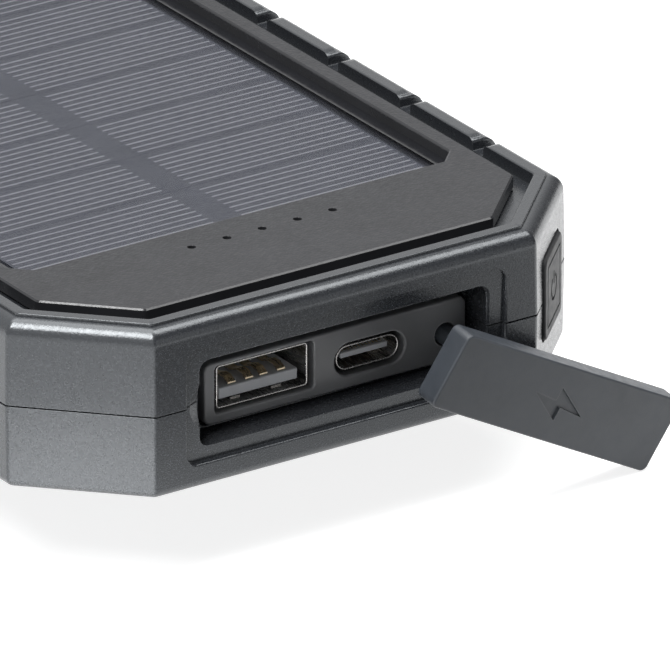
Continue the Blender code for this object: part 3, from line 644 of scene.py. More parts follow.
def moulded(name, colour, roughness, grain, height, mottle=0.12, edge_lightening=0.0):
    """Moulded plastic: fine spark grain, slight cloudiness and, if asked, edges a little lighter than the
    faces, which on the port tongues is a painted highlight.
    """
    made = Finish(name, roughness)
    tone = made.colour(made.noise(CLOUD, detail=4.0), scaled(colour, 1 - mottle), scaled(colour, 1 + mottle))
    if edge_lightening:
        made.lighter_edges(tone, scaled(colour, EDGE_LIGHTENING_TINT), amount=edge_lightening)
    made.rough(made.noise(grain * 4, detail=3.0), roughness - GLOSS_SPREAD, roughness + GLOSS_SPREAD)
    made.relief(made.noise(grain), height)
    return made.material


def metal(name, colour, roughness, brush=(1.0, 1.0, 1.0), grain=0.4, height=0.004, tint=0.1):
    """Metal with fine drawing lines along the axis that brush stretches."""
    made = Finish(name, roughness, metallic=1.0)
    lines = made.noise(grain, detail=3.0, place=made.stretched(*brush))
    made.colour(lines, scaled(colour, 1 - tint), scaled(colour, 1 + tint))
    made.rough(lines, roughness - BRUSHED_SPREAD, roughness + BRUSHED_SPREAD)
    made.relief(lines, height)
    return made.material


def case_plastic():
    colour = (0.0225, 0.0245, 0.0285)
    made = Finish("case_plastic", roughness=0.3)
    grain = made.noise(0.24)
    tone = made.colour(grain, scaled(colour, 0.84), scaled(colour, 1.16))
    made.lighter_edges(tone, (0.085, 0.088, 0.092), radius=0.3, amount=0.35)
    made.rough(made.noise(0.5, detail=3.0), low=0.2, high=0.3)
    made.relief(grain, height=0.018)
    made.relief(made.noise(9.0, detail=3.0), height=0.05)
    return made.set(Specular_IOR_Level=0.8, Specular_Tint=(0.93, 0.97, 1.0, 1.0)).material


def plate_plastic():
    """Fine leather-like grain."""
    colour = (0.0238, 0.0245, 0.0274)
    made = Finish("plate_plastic", roughness=0.5)
    made.colour(made.noise(5.0, detail=5.0), scaled(colour, 0.88), scaled(colour, 1.12))
    made.rough(made.noise(0.8, detail=3.0), low=0.44, high=0.56)
    grained = made.polished_slopes(roughness=0.12)
    made.relief(made.cells(0.4), height=0.05, strength=grained)
    made.relief(made.noise(0.2), height=0.03, strength=grained)
    return made.set(Specular_IOR_Level=0.37).material


def soft_rubber():
    colour = (0.0412, 0.0478, 0.0578)
    made = Finish("soft_rubber", roughness=0.42)
    tone = made.colour(made.noise(6.0, detail=5.0), scaled(colour, 0.9), scaled(colour, 1.1))
    # Edges painted lighter: a painted highlight along the cover's edges
    made.lighter_edges(tone, (0.16, 0.17, 0.178), radius=0.3, amount=0.5)
    made.rough(made.noise(1.0, detail=4.0), low=0.36, high=0.48)
    made.relief(made.noise(0.16), height=0.01)
    made.relief(made.noise(3.5), height=0.02)
    return made.material


def sheet(name, roughness, dark, light, cloud, gloss, grain, **shader):
    """Smooth layer whose colour, gloss and relief vary, each at a size of its own in millimetres.

    cloud is a size and its detail, gloss a size, its detail and a roughness range, grain a size and a height.
    """
    made = Finish(name, roughness)
    made.colour(made.noise(*cloud), dark, light)
    made.rough(made.noise(*gloss[:2]), *gloss[2:])
    made.relief(made.noise(grain[0]), grain[1])
    return made.set(**shader).material


def circuit_board():
    """Green solder mask with the faint relief of copper runs under it."""
    made = Finish("circuit_board", roughness=0.4)
    runs = made.noise(1.5, detail=0.0, place=made.stretched(1.0, 0.25, 1.0))
    made.colour(runs, (0.012, 0.10, 0.045), (0.03, 0.19, 0.085), start=0.45, end=0.55)
    made.rough(made.noise(0.8, detail=3.0), low=0.32, high=0.48)
    made.relief(runs, height=0.03)
    return made.material


def foil_pouch():
    made = Finish("pouch", roughness=0.42, metallic=0.7)
    creases = made.noise(6.0, detail=4.0)
    made.colour(creases, (0.5, 0.51, 0.53), (0.6, 0.61, 0.63))
    made.rough(creases, low=0.34, high=0.5)
    made.relief(creases, height=0.12)
    return made.material


def foam():
    made = Finish("foam", roughness=0.9)
    pores = made.cells(0.7)
    made.colour(pores, (0.05, 0.05, 0.05), (0.14, 0.14, 0.14), start=0.1, end=0.6)
    made.rough(made.noise(0.5), low=0.85, high=0.95)
    made.relief(pores, height=0.15)
    return made.material


# Plastics: colour, roughness, grain size, grain height. Metals: colour, roughness, stretch and size of lines
CASE = case_plastic()
BUTTON_FINISH = moulded("button_plastic", (0.026, 0.0272, 0.0295), 0.58, 0.22, 0.012, edge_lightening=0.35)
PLATE = plate_plastic()
PORT_PLASTIC = moulded("port_plastic", (0.165, 0.169, 0.176), 0.34, 0.25, 0.014, edge_lightening=0.8)
RUBBER = soft_rubber()
STEEL = metal("port_steel", (0.5, 0.49, 0.475), 0.26, (1.0, 0.05, 1.0), 0.2)
SCREW_STEEL = metal("screw_steel", (0.5, 0.5, 0.5), 0.32)
GOLD = metal("gold_plate", (0.66, 0.56, 0.4), 0.3, (1.0, 0.1, 1.0), 0.25)
# Lighter edges on the port tongues: a painted highlight along their front edges
TONGUE = moulded("tongue_plastic", (0.46, 0.475, 0.5), 0.42, 0.3, 0.008, edge_lightening=0.5)
CHIP = moulded("chip", (0.02, 0.02, 0.021), 0.5, 0.12, 0.008)
SILICON = sheet(
    "silicon", 0.35, (0.0222, 0.0262, 0.0402), (0.0308, 0.0348, 0.0518),
    cloud=(4.0, 5.0), gloss=(0.7, 2.0, 0.3, 0.42), grain=(1.6, 0.004), Specular_IOR_Level=0.35,
)
FINGERS = sheet(
    "finger_silver", 0.4, (0.166, 0.171, 0.195), (0.222, 0.227, 0.256),
    cloud=(0.6, 4.0), gloss=(0.3, 3.0, 0.34, 0.46), grain=(0.15, 0.004), Specular_IOR_Level=0.35,
)
PANEL_BACKING = sheet(
    "panel_backing", 0.4, (0.018, 0.0198, 0.0272), (0.0255, 0.0274, 0.0368),
    cloud=(2.0, 4.0), gloss=(0.6, 2.0, 0.35, 0.45), grain=(0.5, 0.004), Specular_IOR_Level=0.3,
)
CLEAR_FILM = sheet(
    "clear_film", 0.12, (0.02, 0.02, 0.024), (0.03, 0.03, 0.035),
    cloud=(8.0, 4.0), gloss=(3.0, 3.0, 0.08, 0.16), grain=(6.0, 0.004), Alpha=0.06,
)
SMOKY_PLASTIC = sheet(
    "clear_plastic", 0.2, (0.018, 0.018, 0.019), (0.026, 0.026, 0.027),
    cloud=(2.0, 3.0), gloss=(1.0, 3.0, 0.15, 0.28), grain=(0.5, 0.003),
)
# Very dark strips beside the cells: partly dark print, partly painted shade from the window's wall
MARGIN_INK_AND_SHADE = moulded("margin_ink_and_shade", (0.010, 0.0105, 0.013), 0.14, 0.2, 0.001)
POUCH = foil_pouch()
RED_LEAD = moulded("red_lead", (0.5, 0.025, 0.025), 0.45, 0.3, 0.008)
BLACK_LEAD = moulded("black_lead", (0.018, 0.018, 0.018), 0.45, 0.3, 0.008)

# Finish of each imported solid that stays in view, by the start of its name
NODE_FINISH = {
    "panel_board": PANEL_BACKING,
    "panel_film": CLEAR_FILM,
    "light_guide": SMOKY_PLASTIC,
    "main_board": circuit_board(),
    "charge_controller": CHIP,
    "tact_switch": CHIP,
    "switch_plunger": moulded("plunger_plastic", (0.03, 0.03, 0.03), 0.45, 0.2, 0.008),
    "inductor": moulded("ferrite", (0.11, 0.11, 0.115), 0.6, 0.3, 0.04),
    "battery_pad": foam(),
    "solar_cell": SILICON,
    "usb_a_contact": GOLD,
    "charge_light": moulded("lamp", (0.8, 0.79, 0.7), 0.3, 0.3, 0.004),
    "capacitor": metal("capacitor_can", (0.6, 0.6, 0.62), 0.3, (1.0, 1.0, 0.1)),
    "battery_upper": POUCH,
    "battery_lower": POUCH,
    "panel_lead_red": RED_LEAD,
    "battery_lead_red": RED_LEAD,
    "panel_lead_black": BLACK_LEAD,
    "battery_lead_black": BLACK_LEAD,
}


def dress_solids():
    """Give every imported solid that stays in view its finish."""
    for name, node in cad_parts.items():
        for start, finish in NODE_FINISH.items():
            if name.startswith(start):
                node.data.materials.clear()
                node.data.materials.append(finish)


# Case


def cavity(low, high):
    """Room inside the walls, kept behind the thick wall of the port recess."""
    outline = octagon(WALL)
    step = [
        (-CAVITY_CHEEK, behind(WALL)),
        (-CAVITY_CHEEK, behind(CAVITY_FRONT)),
        (CAVITY_CHEEK, behind(CAVITY_FRONT)),
        (CAVITY_CHEEK, behind(WALL)),
    ]
    return prism(outline[:1] + step + outline[1:], low, high)


def front_place(outline, depth):
    return facing(outline, behind(depth))


def tilted_place(outline, depth):
    """Outline on a plane that leans back towards its foot, about the rebate's middle."""
    tilt = REBATE_TILT * depth
    return [(x, behind(depth + tilt * (REBATE_MIDDLE[1] - z)), z) for x, z in outline]


def grown_rectangle(half, middle, radius, steps):
    """Rounded rectangle that can be grown by a distance on every side."""
    def outline(grow):
        sides = rectangle(half[0] + grow, half[1] + grow, middle)
        return rounded(sides, max(radius + grow, LEAST_ROUND), steps)
    return outline


def recess_tools():
    """The shallow rebate, the deep recess, the thumb scoop and the opening for the port plate."""
    rebate = grown_rectangle(REBATE, REBATE_MIDDLE, REBATE_ROUND, 8)
    recess = grown_rectangle(RECESS, RECESS_MIDDLE, RECESS_ROUND, 8)
    arc = (SCOOP_HEIGHT ** 2 / 4 + SCOOP_REACH ** 2) / (2 * SCOOP_REACH)
    scoop = (arc - RECESS[0] - SCOOP_REACH, RECESS_MIDDLE[1])
    run, fall = SCOOP_FALL
    out, rim = SCOOP_MOUTH
    dish = [front_place(circle(*scoop, radius, SCOOP_SIDES), REBATE_DEPTH + sink)
            for radius, sink in ((arc, out), (arc, rim), (arc - run, fall))]
    plate = (PORT_PLATE[0] + CLEAR, PORT_PLATE[1] + CLEAR)
    opening = grown_rectangle(plate, PORT_PLATE_MIDDLE, PORT_PLATE_ROUND, 6)
    return [
        hole(rebate, tilted_place, REBATE_START, REBATE_DEPTH, REBATE_LIP),
        hole(recess, front_place, REBATE_DEPTH, RECESS_DEPTH, RECESS_LIP, RECESS_FOOT),
        loft(dish),
        hole(opening, front_place, RECESS_DEPTH, CAVITY_FRONT + OVERCUT, PORT_OPENING_LIP, out=OVERCUT / 2),
    ]


def corner_frame():
    """Frame on the right front corner face: X along it, Y up, Z outward."""
    middle = CORNER_LEG / 2
    place = Matrix.Translation(Vector((WIDTH / 2 - middle, behind(middle), PARTING_Z)) * MM)
    along = Vector((1, 1, 0)).normalized()
    out = Vector((1, -1, 0)).normalized()
    return place @ Matrix((along, Vector((0, 0, 1)), out)).transposed().to_4x4()


def button_tool():
    half = (BUTTON[0] + CLEAR, BUTTON[1] + CLEAR)
    outline = grown_rectangle(half, (0.0, 0.0), BUTTON_ROUND + CLEAR, 8)
    tool = hole(outline, lambda ring, depth: level(ring, -depth), 0.0, WALL + OVERCUT, BUTTON_HOLE_LIP)
    return moved(tool, corner_frame())


def notch_tool():
    """Slots across both side rails, with rounded shoulders on the blocks between them."""
    floor = RIM_Z - NOTCH_DEPTH
    half = NOTCH_WIDTH / 2
    long, high = NOTCH_SHOULDER
    shoulder = [(half + long * run, RIM_Z + NOTCH_SKIM - high * (1 - rise)) for rise, run in quarter(1.0, 12)]
    shoulder.append((half + long, RIM_Z + OVERCUT))
    wide, tight = NOTCH_FOOT
    side = [(half - wide, floor), (half - tight, floor + tight), (half, floor + wide)] + shoulder
    profile = [(-y, z) for y, z in side] + list(reversed(side))
    inner, outer = WIDTH / 2 - RIM_INSET - OVERCUT, WIDTH / 2 + OVERCUT
    slots = []
    for edge in (-1, 1):
        for k in range(NOTCH_COUNT):
            y = (k - (NOTCH_COUNT - 1) / 2) * NOTCH_PITCH
            slots.append(loft([[(edge * x, y + v, z) for v, z in profile] for x in (inner, outer)]))
    return merge(slots)


def eased_foot(radius):
    """Rise and inset of a small rounded edge at the foot of a wall."""
    return [(radius - rise, inset) for rise, inset in reversed(quarter(radius, 3))]


def case_top():
    low = PARTING_Z + PARTING_GAP / 2
    rings = [case_ring(low + rise, inset) for rise, inset in eased_foot(PARTING_EASE)]
    wall_top = CROWN_Z - TOP_FILLET
    lean = DRAFT * (wall_top - low)
    narrow = (TOP_FILLET - lean) / TOP_FILLET
    rings += [case_ring(wall_top + rise, lean + inset * narrow) for rise, inset in quarter(TOP_FILLET, 14)]
    outside = quarter(RIM_OUTER_EDGE, 3)
    rings += [case_ring(RIM_Z - RIM_OUTER_EDGE + rise, TOP_FILLET + inset) for rise, inset in outside]
    edge = quarter(RIM_EDGE, 5)
    rings += [case_ring(RIM_Z - RIM_EDGE + rise, RIM_INSET - inset) for rise, inset in reversed(edge)]
    rings.append(case_ring(DECK_Z, RIM_INSET))
    y = behind(LIGHT_SETBACK)
    bosses = [rod((*xy, low), (*xy, DECK_UNDER + BOSS_BITE), BOSS_RADIUS) for xy in SCREW_PLACES]
    pilots = [rod((*xy, low - OVERCUT), (*xy, SCREW_TIP + CLEAR), SCREW_RADIUS + CLEAR)
              for xy in SCREW_PLACES]
    guides = [rod((x, y, DECK_UNDER - OVERCUT), (x, y, DECK_Z + OVERCUT), GUIDE_RADIUS) for x in LIGHT_XS]
    data = carved(
        loft(rings),
        [cavity(low - OVERCUT, DECK_UNDER)],
        [merge(bosses)],
        [
            merge(pilots),
            prism(rectangle(*PANEL_POCKET), PANEL_LEDGE_Z, DECK_Z + OVERCUT),
            prism(rectangle(*PANEL_ROOM), DECK_UNDER - OVERCUT, DECK_Z + OVERCUT / 2),
            merge(guides),
            notch_tool(),
            button_tool(),
            *recess_tools(),
        ],
    )
    piece("case_top", data, CASE, "housing", "case_plastic", "upper_shell")


def case_bottom():
    high = PARTING_Z - PARTING_GAP / 2
    lean = DRAFT * (high - BOTTOM_FILLET)
    curve = reversed(quarter(BOTTOM_FILLET, 9))
    rings = [case_ring(BOTTOM_FILLET - rise, lean + inset) for rise, inset in curve]
    rings += [case_ring(high - PARTING_EASE + rise, inset) for rise, inset in quarter(PARTING_EASE, 3)]
    posts = [rod((*xy, BOSS_BITE), (*xy, high), BOSS_RADIUS) for xy in SCREW_PLACES]
    shafts = [rod((*xy, -OVERCUT), (*xy, high + OVERCUT), SCREW_RADIUS + CLEAR) for xy in SCREW_PLACES]
    radius, head_room = SCREW_HEAD[0] + CLEAR, SCREW_SINK + SCREW_HEAD[1] + CLEAR
    sinks = []
    for x, y in SCREW_PLACES:
        wall = partial(circle_grown, x, y, radius, SCREW_SIDES)
        sinks.append(hole(wall, level, 0.0, head_room, SINK_LIP))
    data = carved(
        loft(rings),
        [cavity(FLOOR, high + OVERCUT)],
        [merge(posts)],
        [merge(shafts), merge(sinks), button_tool(), *recess_tools()],
    )
    piece("case_bottom", data, CASE, "housing", "case_plastic", "lower_shell")


def top_plate():
    def window(grow):
        leg = WINDOW_CORNER + grow * (2 - math.sqrt(2))
        return rounded(chamfered(WINDOW[0] + grow, WINDOW[1] + grow, leg), WINDOW_ROUND + grow, 4)

    def from_top(outline, depth):
        return level(outline, PLATE_TOP - depth)

    run, drop = PLATE_BEVEL
    rings = [case_ring(PLATE_Z, PLATE_INSET)]
    rings += [case_ring(PLATE_TOP - drop, PLATE_INSET), case_ring(PLATE_TOP, PLATE_INSET + run)]
    depth = PLATE_TOP - PLATE_Z + OVERCUT
    y = behind(LIGHT_SETBACK)
    walls = [partial(circle_grown, x, y, PINHOLE / 2, 24) for x in LIGHT_XS]
    pins = [hole(wall, from_top, 0.0, depth, PINHOLE_LIP) for wall in walls]
    data = carved(loft(rings), [hole(window, from_top, 0.0, depth, WINDOW_LIP), merge(pins)])
    piece("top_plate", data, PLATE, "housing", "plate_plastic", "face_plate")


def finger_lines():
    """Fine printed lines across each cell, broken by the dark band along the middle."""
    start = CELL_FRONT - WINDOW[1]
    lines = []
    for cell in range(CELL_COUNT):
        middle = start + (cell + 0.5) * CELL_PITCH
        for k in range(LINES_PER_CELL):
            y = middle + (k - (LINES_PER_CELL - 1) / 2) * LINE_PITCH
            for left, right in LINE_SPANS:
                half = LINE_WIDTH / 2
                crest = half * LINE_CREST
                rows = ((y - half, 0.0), (y - crest, LINE_HEIGHT), (y + crest, LINE_HEIGHT), (y + half, 0.0))
                rings = [[(x, v, CELL_TOP + LINE_LIFT + rise) for v, rise in rows] for x in (left, right)]
                lines.append(loft(rings))
    piece("finger_lines", merge(lines), FINGERS, "housing", "silicon")


def cell_joints():
    """Wafer-coloured filler between the cells, just under their tops."""
    strips = []
    for k in range(1, CELL_COUNT):
        (low, high), (next_low, _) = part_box(f"solar_cell_{k:02d}"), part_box(f"solar_cell_{k + 1:02d}")
        middle = (high[1] + next_low[1]) / 2 / MM
        half = (next_low[1] - high[1]) / 2 / MM
        strip = rectangle(high[0] / MM, half, (0.0, middle))
        strips.append(prism(strip, low[2] / MM, CELL_TOP - JOINT_SINK))
    piece("cell_joints", merge(strips), SILICON, "housing", "silicon")


def panel_margins():
    """Dark strips on the laminate along both long sides of the cells: partly a dark printed margin, partly
    painted shade from the window's wall.
    """
    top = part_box("panel_film")[1][2] / MM
    half = (MARGIN[1] - MARGIN[0]) / 2
    middle = (MARGIN[0] + MARGIN[1]) / 2
    strips = []
    for side in (-1, 1):
        strip = rectangle(half, WINDOW[1] + MARGIN_OVERRUN, (side * middle, 0.0))
        strips.append(prism(rounded(strip, MARGIN_ROUND, 3), top, top + MARGIN_THICK))
    piece("panel_margins", merge(strips), MARGIN_INK_AND_SHADE, "housing", "panel_backing")


# Ports


def port_surround():
    front, back = PORT_FACE, CAVITY_FRONT + CLEAR
    face = grown_rectangle(PORT_PLATE, PORT_PLATE_MIDDLE, PORT_PLATE_ROUND, 8)
    flange = face(FLANGE_LIP)
    bend = reversed(quarter(PORT_EDGE, 5))
    rings = [front_place(face(-inset), front + PORT_EDGE - rise) for rise, inset in bend]
    rings += [front_place(face(0.0), back), front_place(flange, back)]
    rings.append(front_place(flange, back + FLANGE_THICK))
    end = back + FLANGE_THICK + OVERCUT
    side, edge = PORT_GAP
    a_half = (USB_A[0] / 2 + METAL + side, USB_A[1] / 2 + METAL + edge)
    c_half = (USB_C[0] / 2 + side, USB_C[1] / 2 + side)
    mouths = [
        grown_rectangle(a_half, USB_A_MIDDLE, USB_A_ROUND[0], 6),
        grown_rectangle(c_half, USB_C_MIDDLE, c_half[1] - USB_C_END_FLAT, 10),
    ]
    tools = [hole(mouth, front_place, front, end, PORT_EDGE, out=OVERCUT) for mouth in mouths]
    tools.append(rod(stem_point(OVERCUT), stem_point(front - end), STEM_RADIUS + CLEAR))
    data = carved(loft(rings), tools)
    piece("port_surround", data, PORT_PLASTIC, "housing", "port_plastic", "port_plate")


def drawn_shell(outer, inner, depth):
    """Cup of thin sheet with a rolled front edge."""
    round_edge = METAL / 2
    rings = [front_place(outer(0.0), SHELL_FRONT + depth)]
    for k in range(EDGE_STEPS + 1):
        turn = math.radians(180 * k / EDGE_STEPS)
        inset = round_edge * (1 - math.cos(turn))
        out = SHELL_FRONT + round_edge * (1 - math.sin(turn))
        share = inset / METAL
        ring = [Vector(a).lerp(Vector(b), share) for a, b in zip(outer(0.0), inner(0.0))]
        rings.append(front_place(ring, out))
    rings.append(front_place(inner(0.0), SHELL_FRONT + depth - METAL))
    return loft(rings)


def port_tongue(half, middle, radius, edge, setback, depth):
    """Insulator in a port, with rounded front edges, from a setback to the port's depth."""
    outline = grown_rectangle(half, middle, radius, 4)
    front, back = SHELL_FRONT + setback, SHELL_FRONT + depth - METAL - CLEAR
    rings = [front_place(outline(-inset), front + edge - rise) for rise, inset in reversed(quarter(edge, 4))]
    return loft(rings + [front_place(outline(0.0), back)])


def usb_a_port():
    half = (USB_A[0] / 2, USB_A[1] / 2)
    outer = grown_rectangle((half[0] + METAL, half[1] + METAL), USB_A_MIDDLE, USB_A_ROUND[0], 6)
    inner = grown_rectangle(half, USB_A_MIDDLE, USB_A_ROUND[1], 6)
    shell = drawn_shell(outer, inner, USB_A_DEPTH)
    x, z = USB_A_MIDDLE
    springs = [leaf_spring(x + side, z + face * half[1], face) for side in SPRING_XS for face in (-1, 1)]
    piece("usb_a_housing", shell, STEEL, "housing", "port_steel", "usb_a_shell", sharp=50)
    piece("usb_a_springs", merge(springs), STEEL, "housing", "port_steel")
    middle = (x, z - half[1] + USB_A_TONGUE_LIFT + USB_A_TONGUE[1])
    insert = port_tongue(USB_A_TONGUE, middle, *USB_A_TONGUE_EDGE, USB_A_TONGUE_BACK, USB_A_DEPTH)
    piece("usb_a_insert", insert, TONGUE, "housing", "tongue_plastic", "usb_a_tongue")


def leaf_spring(x, z, side):
    """Bowed leaf that stands off a wall of the shell."""
    start, length = SPRING_RUN
    foot, height = SPRING_BOW
    inner, outer = SPRING_SKIN
    left, right = x - SPRING_HALF, x + SPRING_HALF
    rings = []
    for k in range(EDGE_STEPS + 1):
        y = behind(SHELL_FRONT + (start + length * k / EDGE_STEPS))
        bow = foot + height * math.sin(math.pi * k / EDGE_STEPS) ** 2
        near, far = z - side * (bow - inner), z - side * (bow + outer)
        rings.append([(left, y, near), (right, y, near), (right, y, far), (left, y, far)])
    return loft(rings)


def usb_c_port():
    half = (USB_C[0] / 2, USB_C[1] / 2)
    end_round = half[1] - USB_C_END_FLAT
    outer = grown_rectangle(half, USB_C_MIDDLE, end_round, 12)
    inner = grown_rectangle((half[0] - METAL, half[1] - METAL), USB_C_MIDDLE, end_round - METAL, 12)
    x, z = USB_C_MIDDLE
    feet = []
    for side in (-1, 1):
        middle = x + side * (half[0] - half[1])
        place = (middle, behind(SHELL_FRONT + USB_C_DEPTH - USB_C_FOOT_BACK))
        corners = rectangle(USB_C_FOOT, USB_C_FOOT, place)
        feet.append(prism(corners, USB_C_FOOT_LOW, z - half[1] + USB_C_FOOT_BITE))
    data = carved(drawn_shell(outer, inner, USB_C_DEPTH), joins=[merge(feet)])
    piece("usb_c_housing", data, STEEL, "housing", "port_steel", "usb_c_shell", sharp=50)
    insert = port_tongue(USB_C_TONGUE, USB_C_MIDDLE, *USB_C_TONGUE_EDGE, USB_C_TONGUE_BACK, USB_C_DEPTH)
    piece("usb_c_insert", insert, TONGUE, "housing", "tongue_plastic", "usb_c_tongue")
    front = SHELL_FRONT + USB_C_TONGUE_BACK
    pads = []
    for k in range(PAD_COUNT):
        middle = x + (k - (PAD_COUNT - 1) / 2) * PAD_PITCH
        left, right = middle - PAD_HALF, middle + PAD_HALF
        for face in (-1, 1):
            wall = z + face * PAD_RISE
            top = wall + face * PAD_THICK
            sides = [(left, wall), (right, wall), (right, top), (left, top)]
            pads.append(loft([front_place(sides, front + run) for run in PAD_RUN]))
    piece("usb_c_pads", merge(pads), GOLD, "housing", "gold_plate")


# Cover and stem


def stem_turn():
    """Turn that leans the stem's outward direction, which is the frame's -Y."""
    yaw = Matrix.Rotation(math.radians(STEM_YAW), 4, "Z")
    return yaw @ Matrix.Rotation(math.radians(STEM_LEAN), 4, "X")


def stem_point(out):
    """Point on the stem's line in the port plate, a distance out from the plate's face."""
    x, z = STEM_XZ
    return Vector((x, behind(PORT_FACE), z)) + stem_turn() @ Vector((0, -out, 0))


def turn_point(out):
    """Point on the axis that the cover turns about, a distance out from the port plate."""
    return Vector(BEND) + stem_point(out)


def cover_back():
    """Distance along the turning axis from the port plate to the back of the pulled-out heel."""
    lean = math.cos(math.radians(STEM_LEAN)) * math.cos(math.radians(STEM_YAW))
    return PULL_OUT + (PORT_FACE - COVER_SINK - COVER[2] - HEEL_THICK) / lean


def cover_place():
    """Pose of the pulled-out, turned cover: X along it from its stem end, Z out of its face."""
    seat = Matrix(((-1, 0, 0), (0, 0, -1), (0, -1, 0))).transposed().to_4x4()
    seat = Matrix.Translation(Vector((COVER[0] / 2, behind(COVER_SINK), COVER_Z)) * MM) @ seat
    axis = Matrix.Translation(turn_point(0) * MM) @ stem_turn()
    pulled = Matrix.Translation((0, -PULL_OUT * MM, 0))
    return axis @ pulled @ Matrix.Rotation(math.radians(-OPEN_TURN), 4, "Y") @ axis.inverted() @ seat


def bolt_mark():
    """Plain lightning bolt, for charging, pressed into the middle of the cover along its length."""
    middle = COVER[0] / 2
    outline = list(BOLT) + [(-x, -y) for x, y in BOLT]
    return prism([(middle + x, y) for x, y in outline], -BOLT_SINK, OVERCUT)


def port_cover():
    long, high, thick = COVER
    outline = grown_rectangle((long / 2, high / 2), (long / 2, 0.0), COVER_ROUND, 8)
    edge = quarter(COVER_EDGE, 6)
    rings = [level(outline(-inset), COVER_EDGE - thick - rise) for rise, inset in reversed(edge)]
    rings += [level(outline(-inset), rise - COVER_EDGE) for rise, inset in edge]
    half = (HEEL_LENGTH / 2, high / 2 - HEEL_INSET)
    heel = grown_rectangle(half, (HEEL_INSET + HEEL_LENGTH / 2, 0.0), COVER_ROUND, 8)
    back = -thick - HEEL_THICK
    foot = reversed(quarter(HEEL_EDGE, 5))
    heel_rings = [level(heel(-inset), back + HEEL_EDGE - rise) for rise, inset in foot]
    heel_rings.append(level(heel(0.0), -thick / 2))
    start = cover_back()
    ends = (turn_point(start - HEEL_THICK), turn_point(start + STEM_BITE + CLEAR))
    bore = moved(rod(*ends, STEM_RADIUS + CLEAR), cover_place().inverted())
    data = carved(loft(rings), joins=[loft(heel_rings)], last_cuts=[bore, bolt_mark()])
    data.transform(cover_place())
    piece("port_flap", data, RUBBER, "port_cover", "soft_rubber", "port_cover")


def cover_stem():
    """Round rubber stem, bent between its hole and the axis that the cover turns about."""
    back = -(CAVITY_FRONT + CLEAR + FLANGE_THICK + CLEAR - PORT_FACE)
    end = cover_back() + STEM_BITE
    start, finish = stem_point(STEM_STRAIGHT), turn_point(end - STEM_STRAIGHT)
    head_radius, head_thick = STEM_HEAD
    tail, shoulder = STEM_HEAD_EDGE
    path = [
        (stem_point(back - head_thick), head_radius - tail),
        (stem_point(back - head_thick + tail), head_radius),
        (stem_point(back - shoulder), head_radius),
        (stem_point(back), head_radius - shoulder),
        (stem_point(back + STEM_NECK), STEM_RADIUS),
    ]
    for k in range(STEM_STEPS + 1):
        t = k / STEM_STEPS
        ease = t * t * (3 - 2 * t)
        straight = stem_point(STEM_STRAIGHT + (finish - start).length * t)
        path.append((straight + Vector(BEND) * ease, STEM_RADIUS))
    path.append((turn_point(end), STEM_RADIUS))
    turn = stem_turn()
    rings = []
    for point, radius in path:
        ring = circle(0.0, 0.0, radius, 28)
        rings.append([point + turn @ Vector((x, 0.0, z)) for x, z in ring])
    piece("flap_stem", loft(rings), RUBBER, "cover_stem", "soft_rubber", "cover_stem")


# Button and screws


def power_button():
    face = grown_rectangle(BUTTON, (0.0, 0.0), BUTTON_ROUND, 8)
    back = -WALL - CLEAR
    flange = rounded(rectangle(BUTTON[0] + BUTTON_FLANGE, BUTTON[1] + BUTTON_FLANGE), BUTTON_ROUND, 8)
    rings = [level(flange, back - BUTTON_FLANGE), level(flange, back), level(face(0.0), back)]
    rings += [level(face(-inset), BUTTON_PROUD - BUTTON_EDGE + rise)
              for rise, inset in quarter(BUTTON_EDGE, 6)]
    half, length = BUTTON_POST
    heel = back - BUTTON_FLANGE
    post = prism(rectangle(half, half), heel - length, heel + length)
    data = carved(loft(rings), joins=[post], last_cuts=[frame_groove(face), *power_mark()])
    data.transform(corner_frame())
    piece("button_cap", data, BUTTON_FINISH, "power_button", "button_plastic", "power_button")


def frame_groove(face):
    """Fine groove that runs round the cap, inside its edge."""
    low, high = BUTTON_PROUD - GROOVE_DEPTH, BUTTON_PROUD + OVERCUT / 2
    outer, inner = [face(-inset) for inset in GROOVE]
    mesh = bmesh.new()
    loops = [[mesh.verts.new(Vector((x, y, z)) * MM) for x, y in ring]
             for ring, z in ((outer, low), (outer, high), (inner, high), (inner, low))]
    for a, b in zip(loops, loops[1:] + loops[:1]):
        for i, corner in enumerate(a):
            j = (i + 1) % len(a)
            mesh.faces.new((corner, a[j], b[j], b[i]))
    bmesh.ops.recalc_face_normals(mesh, faces=mesh.faces)
    return mesh


def power_mark():
    """Plain broken ring with an upright bar."""
    low, high = BUTTON_PROUD - MARK_DEPTH, BUTTON_PROUD + OVERCUT / 2
    turns = [math.radians(a) for a in MARK_DEGREES]
    inner, outer = MARK_RING
    ring = [(outer * math.cos(a), outer * math.sin(a)) for a in turns]
    ring += [(inner * math.cos(a), inner * math.sin(a)) for a in reversed(turns)]
    bar = rectangle(*MARK_BAR, (0.0, MARK_BAR_RISE))
    return [prism(ring, low, high), prism(bar, low, high)]


def case_screws():
    """Pan heads with a cross recess, set into the bottom."""
    radius, height = SCREW_HEAD
    neck = SCREW_SINK + height
    high, wide = SCREW_CROWN
    stages = [(SCREW_SINK + high * run, radius - wide * (1 - rise)) for rise, run in quarter(1.0, 6)]
    stages += [(neck, radius), (neck, SCREW_RADIUS)]
    length, taper = SCREW_POINT
    stages += [(SCREW_TIP - length, SCREW_RADIUS), (SCREW_TIP, SCREW_RADIUS - taper)]
    for k, (x, y) in enumerate(SCREW_PLACES):
        rings = [level(circle(x, y, r, SCREW_SIDES), z) for z, r in stages]
        cross = [prism(rectangle(*half, (x, y)), -OVERCUT, SCREW_SINK + SCREW_CROSS_DEPTH)
                 for half in (SCREW_CROSS, SCREW_CROSS[::-1])]
        data = carved(loft(rings), cross)
        piece(f"screw_{k + 1}", data, SCREW_STEEL, "housing", "screw_steel", f"case_screw_{k + 1}")


# Floor, light and camera


